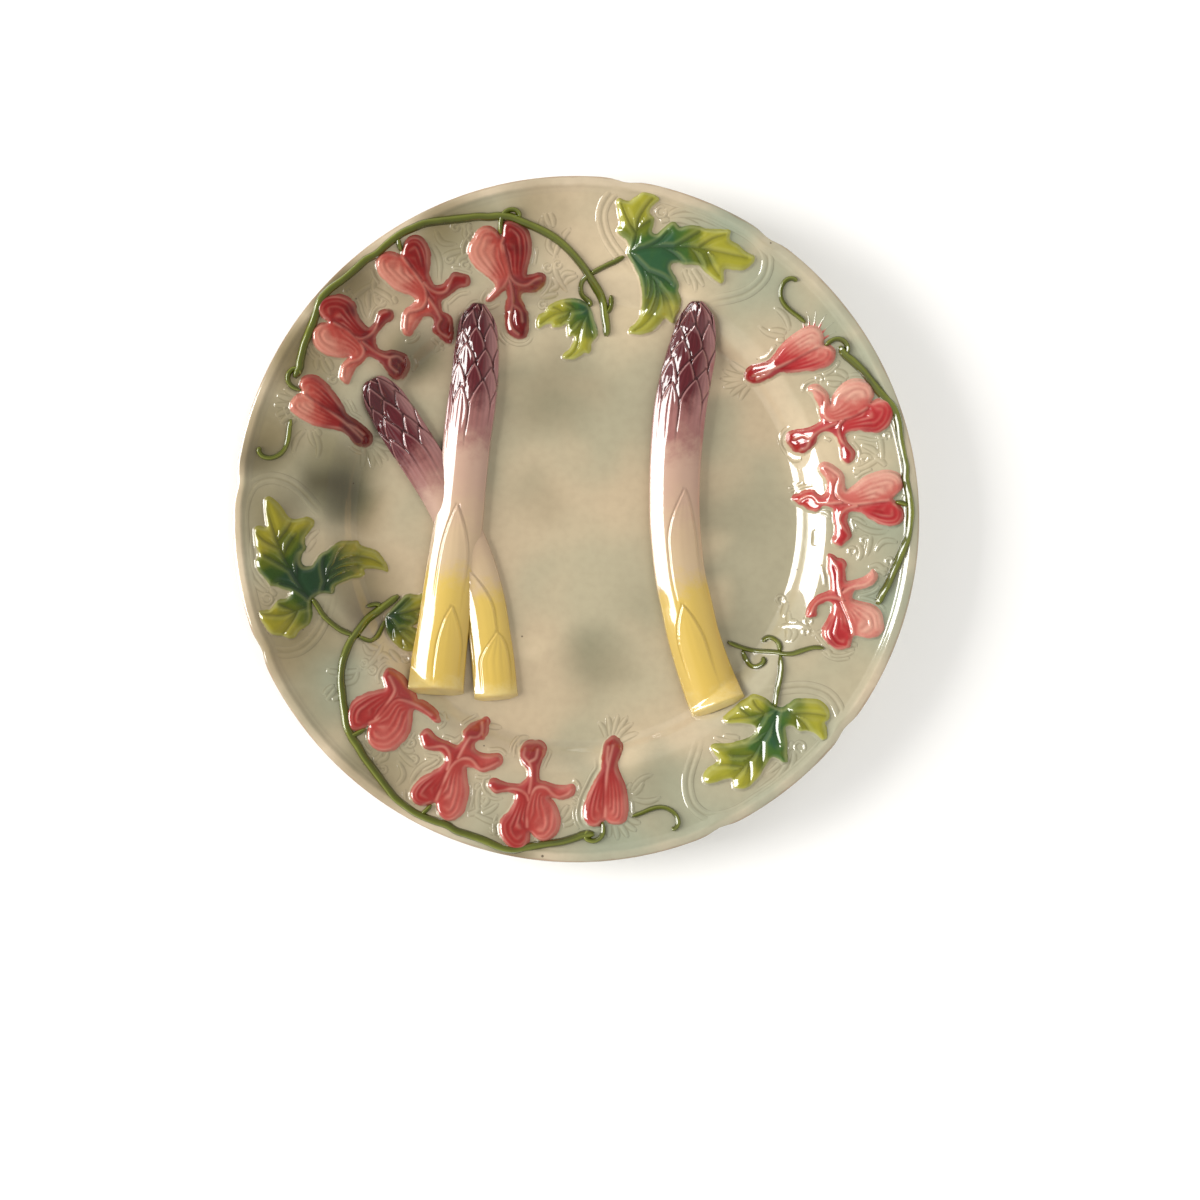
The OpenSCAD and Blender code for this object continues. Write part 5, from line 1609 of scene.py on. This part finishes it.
@dataclass
class Spears:
    """The asparagus spears across the well, with the sizes that they share, in drawing units."""

    plate: PlateForm
    glaze: Glaze
    step: float = 0.35
    across: int = 76
    full_half: float = 10.0
    bow_drop: float = 0.62
    round_turn: float = 0.9
    edge_bead: float = 0.1
    flute_depth: float = 0.13
    groove_w: float = 0.9
    groove_depth: float = 0.28
    bract_tall: float = 30.0
    cut_foot: float = 1.0
    cut_slope: float = 2.3
    cut_bow: float = 1.5
    cut_round: float = 0.7
    foot_depth: float = 0.35
    foot_range: Place = (0.95, 1.0)
    purple_range: Place = (0.2, 0.36)

    def build(self) -> None:
        """Builds every spear."""
        for drawing in SPEARS:
            self.spear(drawing)

    def spear(self, drawing: SpearDrawing) -> bpy.types.Object:
        """Builds one spear.

        Args:
            drawing: The spear.

        Returns:
            The piece.
        """
        line = smooth(drawing.line, steps=6)
        shares = np.linspace(0, 1, len(drawing.widths))
        widths = np.interp(np.linspace(0, 1, len(line)), shares, drawing.widths)
        stations = stations_of(line)

        def surface(along: Points, across: Points) -> tuple[Points, Points, Points]:
            """Returns the rise, the crest and the pool, from the scales and the cut end."""
            down = along * stations[-1]
            half = np.interp(down, stations, widths)
            bow = 1 - self.bow_drop * across**2
            lift, crest, pool = self.scaled(drawing.scales(), down, across, half)
            rise = drawing.height * half / self.full_half * bow + lift * ease(0, self.foot_depth, bow)
            return self.cut(rise, crest, stations[-1] - down, across) + (pool,)

        def rise(along: Points, across: Points) -> Points:
            """Returns heights, with the edges under the ground."""
            top = surface(along, across)[0]
            return top - (np.maximum(top, 0) + self.foot_depth) * ease(*self.foot_range, np.abs(across))

        def tones(along: Points, across: Points) -> Points:
            """Returns the glaze's tones, with purple crests and pools near the tip, a painted highlight down
            the left flank, and a brown foot that is partly pooled glaze and partly painted shade.
            """
            _, crest, pool = surface(along, across)
            purple = 1 - ease(*self.purple_range, along)
            # Painted highlight: paler glaze down the left flank, the side that faces the window
            crest = np.maximum(crest, 0.75 * ease(0.25, 0.85, -across) * (1 - 0.8 * pool))
            # Painted shade with pooled glaze: the yellow part turns brown towards both flanks
            brown = 0.3 * ease(0.5, 1.0, np.abs(across)) * (1 - purple)
            return np.column_stack([
                along, crest * (0.04 + 0.96 * purple), pool * (0.1 + 0.9 * purple) + brown,
                stored_way(0.08 + 8 * (1 - np.abs(across)))])

        builder = RidgeBuilder(self.plate, self.step, self.across)
        return builder.build(drawing.name + "_relief", [line], [widths], rise, tones, self.glaze, 0.0,
                             drawing.name)

    def scaled(self, scales: list[Scale], down: Points, across: Points,
               half: Points) -> tuple[Points, Points, Points]:
        """Lays scales over a spear, each over the one before it.

        Args:
            scales: The scales.
            down: How far down the spear the places are.
            across: How far across it they are, -1 to 1.
            half: The spear's half width there.

        Returns:
            The rise over the bare spear, the crest and the pool.
        """
        turn = np.arcsin(np.clip(self.round_turn * across, -1, 1))
        lift, crest, pool = np.zeros((3, len(down)))
        for scale in scales:
            below, edge, aside = scale.over(down, turn, half)
            fade = 1 - ease(scale.tall * 0.35, scale.tall * 0.95, below)
            inside = (edge > 0) & (below < scale.tall)
            beside = (edge <= 0) & (edge > -self.groove_w) & (below < scale.tall)
            flutes = bell(aside, 0.13) + 0.8 * bell(np.abs(aside) - 0.5, 0.12)
            flutes = flutes * fade * ease(1.2, 3.5, below) * (1.0 if scale.tall < self.bract_tall else 0.3)
            stand = scale.thick * fade * dome(edge / 0.5) + self.edge_bead * fade * bell(edge - 0.45, 0.3)
            stand = stand - self.flute_depth * flutes
            lift = np.where(inside, stand + lift * ease(scale.tall * 0.5, scale.tall, below), lift)
            # Paler glaze along each scale's edge, partly thin glaze and partly a painted highlight; the
            # darker groove outside the edge is partly pooled glaze and partly painted shadow under the scale
            crest = np.where(inside, 0.7 * fade * bell(edge - 0.25, 0.25) + crest * (1 - fade), crest)
            pool = np.where(inside, 0.3 * flutes + pool * (1 - fade), pool)
            groove = fade * bell(edge + 0.3, 0.42)
            lift = np.where(beside, lift - self.groove_depth * groove, lift)
            pool = np.where(beside, np.maximum(pool, groove), pool)
            crest = np.where(beside, crest * (1 - groove), crest)
        return lift, crest, pool

    def cut(self, rise: Points, crest: Points, left: Points, across: Points) -> tuple[Points, Points]:
        """Cuts a spear off with a sloping face and a softly rounded edge.

        Args:
            rise: Heights of the uncut spear.
            crest: Its crest.
            left: How far from the spear's end the places are.
            across: How far across it they are, -1 to 1.

        Returns:
            The heights and the crest of the cut spear.
        """
        face = self.cut_foot + (left - self.cut_bow * across**2) * self.cut_slope
        edge = bell(rise - face, 0.8) * ease(0, 2, rise)
        # A paler line along the cut edge, partly thin glaze and partly a painted highlight
        crest = np.maximum(crest, 0.3 * edge)
        soft = sum(np.exp(-np.minimum(height, 20) / self.cut_round) for height in (rise, face))
        return -self.cut_round * np.log(soft), crest


@dataclass
class Garlands:
    """The flowers, leaves and stems on the flange: half widths with heights, in drawing units."""

    plate: PlateForm
    glazes: Glazes
    stem: Place = (1.4, 1.7)
    tendril: Place = (0.85, 1.3)
    stalk: Place = (1.0, 1.5)
    twig: Place = (0.9, 1.5)
    frame_half: float = 2.5
    frame_rise: float = 0.32
    frame_end: float = 14.0
    sprig_rise: float = 0.24
    sprig_widen: float = 1.35
    ring_half: float = 1.0
    echo_lines: tuple[Place, ...] = ((1.9, 0.12), (3.1, 0.32))
    hair_halves: Place = (0.6, 0.25)
    soft_step: float = 0.35

    def __post_init__(self) -> None:
        """Makes the garlands' glazes and the builders of their flowers and leaves."""
        painted = self.glazes.painted
        red, pink, rose = painted(FLOWER_RED), painted(FLOWER_PINK), painted(FLOWER_ROSE)
        green, deep = painted(LEAF_GREEN), painted(LEAF_DEEP)
        self.flower_glaze = {Garland.TOP: red, Garland.BOTTOM: pink, Garland.RIGHT: rose}
        self.leaf_glaze = {Garland.TOP: green, Garland.BOTTOM: deep, Garland.RIGHT: green}
        self.stem_glaze = painted(STEM_OLIVE)
        # Darker glaze beside low beads, partly pooled glaze and partly painted shade
        self.pooled = painted(POOLED_AND_SHADED_GROUND)
        smears = {Garland.TOP: (0.25, 0.2), Garland.BOTTOM: (-0.3, -0.35), Garland.RIGHT: (-0.65, 0.3)}
        self.patches = {garland: PatchBuilder(self.plate, smear) for garland, smear in smears.items()}

    def build(self) -> None:
        """Builds the three garlands."""
        for garland in Garland:
            self.flowers(garland)
            self.leaves(garland)
            self.stems(garland)
            self.frame(garland)
            self.sprigs(garland)
            if garland is Garland.RIGHT:
                self.tufts(garland)

    def patch(self, garland: Garland, node: str, drawing: FlowerDrawing | LeafDrawing, glaze: Glaze) -> None:
        """Builds the relief of one flower or leaf.

        Args:
            garland: The garland that it belongs to.
            node: The node that it stands for.
            drawing: The flower or leaf.
            glaze: Its glaze.
        """
        outline = smooth(drawing.outline, closed=True)
        self.patches[garland].build(node + "_relief", outline, drawing.relief, glaze, garland.turned, node)

    def flowers(self, garland: Garland) -> None:
        """Builds the flowers of one garland, on the bottom one with softer steps between their parts."""
        drawings = {"bud": BUD, "first_flower": FIRST_FLOWER, "middle_flower": MIDDLE_FLOWER,
                    "last_flower": LAST_FLOWERS[garland]}
        for part, drawing in drawings.items():
            if garland is Garland.BOTTOM:
                drawing = replace(drawing, step=self.soft_step)
            self.patch(garland, f"{garland.label}_{part}", drawing, self.flower_glaze[garland])

    def leaves(self, garland: Garland) -> None:
        """Builds the cartouche leaf of one garland, and its leaflet where it has one."""
        drawings = {"cartouche_leaf": CARTOUCHE_LEAVES[garland]}
        if garland is not Garland.RIGHT:
            drawings["leaflet"] = LEAFLET
        for part, drawing in drawings.items():
            self.patch(garland, f"{garland.cartouche}_{part}", drawing, self.leaf_glaze[garland])

    def ridge(self, garland: Garland, name: str, line: Line, size: Place, seed: int,
              node: str | None = None) -> None:
        """Builds a stem, a stalk, a tendril or a twig.

        Args:
            garland: The garland that it belongs to.
            name: The piece's name.
            line: The line that it follows.
            size: Half its width, and its height.
            seed: Which unevenness it has.
            node: The node that it stands for.
        """
        half, height = size
        path = smooth(line)
        count = len(path)
        places = np.column_stack([np.linspace(0, count * 0.9, count), np.zeros(count)])
        widths = half * (1.15 + 0.14 * ripple(places, 11.0, seed))
        ends = np.minimum(np.arange(count) + 1.5, count - np.arange(count) + 0.5)
        widths = widths * np.clip(ends / 4, 0.45, 1)
        length = length_of(path)

        def rise(along: Points, across: Points) -> Points:
            """Returns a rounded section that sinks at its edges."""
            ends = dome(from_ends(along, length) / (half * 1.1))
            bow = np.clip(1 - (across * 1.12) ** 2, -0.26, 1)
            uneven = 1 + 0.1 * ripple(np.column_stack([along * length, 0 * across]), 9.0, seed + 1)
            top = np.sqrt(np.clip(bow, 0, 1)) * uneven + 0.12 * bell(across + 0.3, 0.22)
            return height * np.where(bow > 0, top, bow) * np.clip(ends, 0.12, 1) - 0.02

        def tones(along: Points, across: Points) -> Points:
            """Returns tones that change along the line, with a light crest that is partly a painted highlight
            and dark edges that are partly pooled glaze and partly painted shade.
            """
            tone = ripple(np.column_stack([along * length, 0 * across]), 22.0, seed + 2)
            hue = 0.5 + 0.3 * tone - 0.25 * across
            # Paler crest off the middle, partly a painted highlight; darker edges, partly pooled glaze and
            # partly painted shade
            crest = 0.35 * bell(across + 0.3, 0.25)
            pool = 0.75 * ease(0.5, 0.95, np.abs(across))
            return np.column_stack([hue, crest, pool, stored_way((1 - np.abs(across) * 1.02) * half)])

        builder = RidgeBuilder(self.plate, step=0.4, across=14)
        builder.build(name, [path], [widths], rise, tones, self.stem_glaze, garland.turned, node)

    def stems(self, garland: Garland) -> None:
        """Builds the stem, tendril, stalk and twigs of one garland."""
        seed = int(garland.value)
        ridges = {
            f"{garland.label}_garland_stem": ([*STEM, *STEM_ENDS[garland]], self.stem, seed),
            f"{garland.label}_tendril": (TENDRIL, self.tendril, seed + 5),
            f"{garland.cartouche}_leaf_stalk": (STALKS[garland], self.stalk, seed + 9),
        }
        for node, (line, size, own_seed) in ridges.items():
            self.ridge(garland, node + "_relief", line, size, own_seed, node)
        for number, twig in enumerate([BUD_TWIG, FLOWER_TWIG, *TWIGS[garland]]):
            self.ridge(garland, f"{garland.label}_twig_{number}", twig, self.twig, seed + 11 + number)

    def frame(self, garland: Garland) -> None:
        """Builds the scroll frame of one cartouche."""
        node = f"{garland.cartouche}_scroll_frame"
        path = smooth(SCROLL)
        length = length_of(path)

        def rise(along: Points, across: Points) -> Points:
            """Returns two low beads side by side that run out at the ends."""
            ends = ease(0, self.frame_end, from_ends(along, length))
            beads = bell(np.abs(across) - 0.46, 0.36)
            return (self.frame_rise * beads + 0.06) * ends - 0.16 * ease(0.8, 1.0, np.abs(across)) - 0.05

        def tones(along: Points, across: Points) -> Points:
            """Returns darker glaze beside the beads, partly pooled glaze and partly painted shade."""
            ends = ease(0, self.frame_end, from_ends(along, length))
            beside = bell(across, 0.22) + bell(np.abs(across) - 0.86, 0.12)
            return pooled_and_shaded_tones(0.8 * ends * beside)

        widths = np.full(len(path), self.frame_half)
        builder = RidgeBuilder(self.plate, step=0.6, across=24)
        builder.build(node + "_relief", [path], [widths], rise, tones, self.pooled, garland.turned, node)

    def sprigs(self, garland: Garland) -> None:
        """Builds the fine sprigs and berries that fill the ground between the flowers."""
        hairs = TAIL_HAIRS if garland is Garland.RIGHT else [*TAIL_HAIRS, *HEAD_HAIRS]
        lines = [smooth(sprig) for sprig in [*SPRIGS, *hairs]]
        widths = [self.sprig_widen * (0.5 + 0.75 * np.sin(np.linspace(0.3, math.pi, len(line))))
                  for line in lines]
        turns = np.radians(np.arange(0, 361, 30))
        rings = [np.array([x, y]) + radius * np.column_stack([np.cos(turns), np.sin(turns)])
                 for x, y, radius in BERRIES]
        for number, drawing in enumerate([BUD, FIRST_FLOWER, MIDDLE_FLOWER, LAST_FLOWERS[garland]]):
            outline = smooth(drawing.outline, closed=True)
            for gap, level in self.echo_lines:
                rings += echoes(outline, gap, 3 * number + int(garland.value), level)
        widths += [np.full(len(ring), self.ring_half) for ring in rings]

        def rise(along: Points, across: Points) -> Points:
            """Returns a fine bead that thins out at its ends."""
            ends = ease(0, 0.2, from_ends(along, 1.0))
            bead = (self.sprig_rise * bell(across, 0.42) + 0.03) * ends
            return bead - 0.2 * ease(0.8, 1.0, np.abs(across)) - 0.01

        def tones(along: Points, across: Points) -> Points:
            """Returns darker glaze beside the bead, partly pooled glaze and partly painted shade."""
            return pooled_and_shaded_tones(ease(0, 0.2, from_ends(along, 1.0)) * bell(np.abs(across) - 0.6, 0.22))

        builder = RidgeBuilder(self.plate, step=0.6, across=12)
        builder.build(f"{garland.label}_sprigs", [*lines, *rings], widths, rise, tones, self.pooled,
                      garland.turned)

    def tufts(self, garland: Garland) -> None:
        """Builds the hairs at the head of the bud, painted at their roots."""
        lines = [smooth(hair) for hair in HEAD_HAIRS]
        widths = [np.linspace(*self.hair_halves, len(line)) for line in lines]

        def rise(along: Points, across: Points) -> Points:
            """Returns a fine bead that thins out at its tip."""
            return (0.2 - 0.1 * along) * bell(across, 0.55) - 0.04

        def tones(along: Points, across: Points) -> Points:
            """Returns paint that fades towards the tip."""
            # A paler line down each hair, partly thin glaze and partly a painted highlight
            crest = 0.3 * bell(across, 0.4)
            return np.column_stack([0.45 - 0 * along, crest, 0 * along, stored_way(0.24 - 1.4 * along)])

        builder = RidgeBuilder(self.plate, step=0.5, across=8)
        builder.build(f"{garland.label}_tufts", lines, widths, rise, tones, self.flower_glaze[garland],
                      garland.turned)


@dataclass
class Studio:
    """The floor, the light and the camera, in metres and watts, and the plate's place in the picture."""

    plate: PlateForm
    frame_px: float = 1200.0
    plate_px: Place = (576.0, 519.0)
    rim_px: float = 343.8
    distance: float = 0.85
    sensor: float = 36.0
    clip_end: float = 20.0
    floor_half: float = 1.0
    floor_tone: tuple[float, ...] = (0.95, 0.95, 0.94, 1)
    window_place: Triple = (-1.1, 0.08, 0.54)
    window_size: Place = (0.7, 0.99)
    window_power: float = 23.5
    window_tone: Triple = (1.0, 0.98, 0.95)
    fill_place: Triple = (0.9, 0.0, 1.0)
    fill_size: Place = (2.6, 2.0)
    fill_power: float = 24.0
    room_tone: Triple = (1.0, 0.985, 0.96)
    glow: float = 0.14
    glow_low: float = 0.12
    glow_left: float = 0.3
    low_range: Place = (0.96, 0.66)
    left_range: Place = (0.5, -0.8)

    def build(self) -> None:
        """Builds the floor, the lights, the glow and the camera."""
        self.floor()
        self.light("window", self.window_place, self.window_size, self.window_power, self.window_tone)
        fill = self.light("fill", self.fill_place, self.fill_size, self.fill_power, self.room_tone)
        fill.visible_glossy = False
        self.room()
        self.camera()

    def floor(self) -> None:
        """Lays a plain pale floor."""
        bm = bmesh.new()
        bmesh.ops.create_grid(bm, x_segments=2, y_segments=2, size=self.floor_half)
        mesh = bpy.data.meshes.new("floor")
        bm.to_mesh(mesh)
        bm.free()
        floor = bpy.data.objects.new("floor", mesh)
        bpy.context.collection.objects.link(floor)
        material = bpy.data.materials.new("floor")
        material.use_nodes = True
        shader = material.node_tree.nodes["Principled BSDF"]
        shader.inputs["Base Color"].default_value = self.floor_tone
        shader.inputs["Roughness"].default_value = 0.9
        shader.inputs["Specular IOR Level"].default_value = 0.1
        mesh.materials.append(material)

    def light(self, name: str, place: Triple, size: Place, power: float, tone: Triple) -> bpy.types.Object:
        """Adds an area light that looks at the plate.

        Args:
            name: The light's name.
            place: Where it is.
            size: Its width and height.
            power: Its power in watts.
            tone: Its colour.

        Returns:
            The light.
        """
        data = bpy.data.lights.new(name, "AREA")
        data.shape = "RECTANGLE"
        data.size, data.size_y = size
        data.energy = power
        data.color = tone
        light = bpy.data.objects.new(name, data)
        light.location = place
        light.rotation_euler = (-Vector(place)).to_track_quat("-Z", "Y").to_euler()
        bpy.context.collection.objects.link(light)
        return light

    def room(self) -> None:
        """Adds a glow that is stronger low down and on the left, and white where the camera sees it."""
        world = bpy.data.worlds.new("studio")
        world.use_nodes = True
        n = Nodes(world.node_tree)
        part = n.add("SeparateXYZ", {0: n.add("TexCoord").outputs["Generated"]}).outputs
        low = n.ramp(part["Z"], *self.low_range)
        left = n.ramp(part["X"], *self.left_range)
        strength = n.math("MULTIPLY_ADD", left, self.glow_left, self.glow_low)
        strength = n.math("MULTIPLY_ADD", low, strength, self.glow)
        strength = n.math("MAXIMUM", strength, n.add("LightPath").outputs["Is Camera Ray"])
        glow = world.node_tree.nodes["Background"]
        glow.inputs["Color"].default_value = (*self.room_tone, 1)
        world.node_tree.links.new(strength, glow.inputs["Strength"])
        bpy.context.scene.world = world

    def camera(self) -> None:
        """Looks straight down, with the plate where it stands in the picture."""
        per_px = self.plate.rim_r * self.plate.scale / self.rim_px
        middle = self.frame_px / 2
        x = (middle - self.plate_px[0]) * per_px
        y = (self.plate_px[1] - middle) * per_px
        data = bpy.data.cameras.new("camera")
        data.sensor_width = self.sensor
        data.lens = data.sensor_width * self.distance / (self.frame_px * per_px)
        data.clip_end = self.clip_end
        camera = bpy.data.objects.new("camera", data)
        camera.location = (x, y, self.plate.height * self.plate.scale + self.distance)
        bpy.context.collection.objects.link(camera)
        bpy.context.scene.camera = camera


def main() -> None:
    """Builds the plate and its studio."""
    logging.basicConfig(level=logging.INFO, format="%(message)s")
    plate = PlateForm.from_frame()
    glazes = Glazes(plate.scale, GroundGlaze(), Gloss(), Brush())
    PlateBody(plate, glazes.bare()).build()
    Spears(plate, glazes.painted(SPEAR)).build()
    Garlands(plate, glazes).build()
    Studio(plate).build()
    bpy.context.scene.view_settings.view_transform = "Standard"


if __name__ == "__main__":
    main()
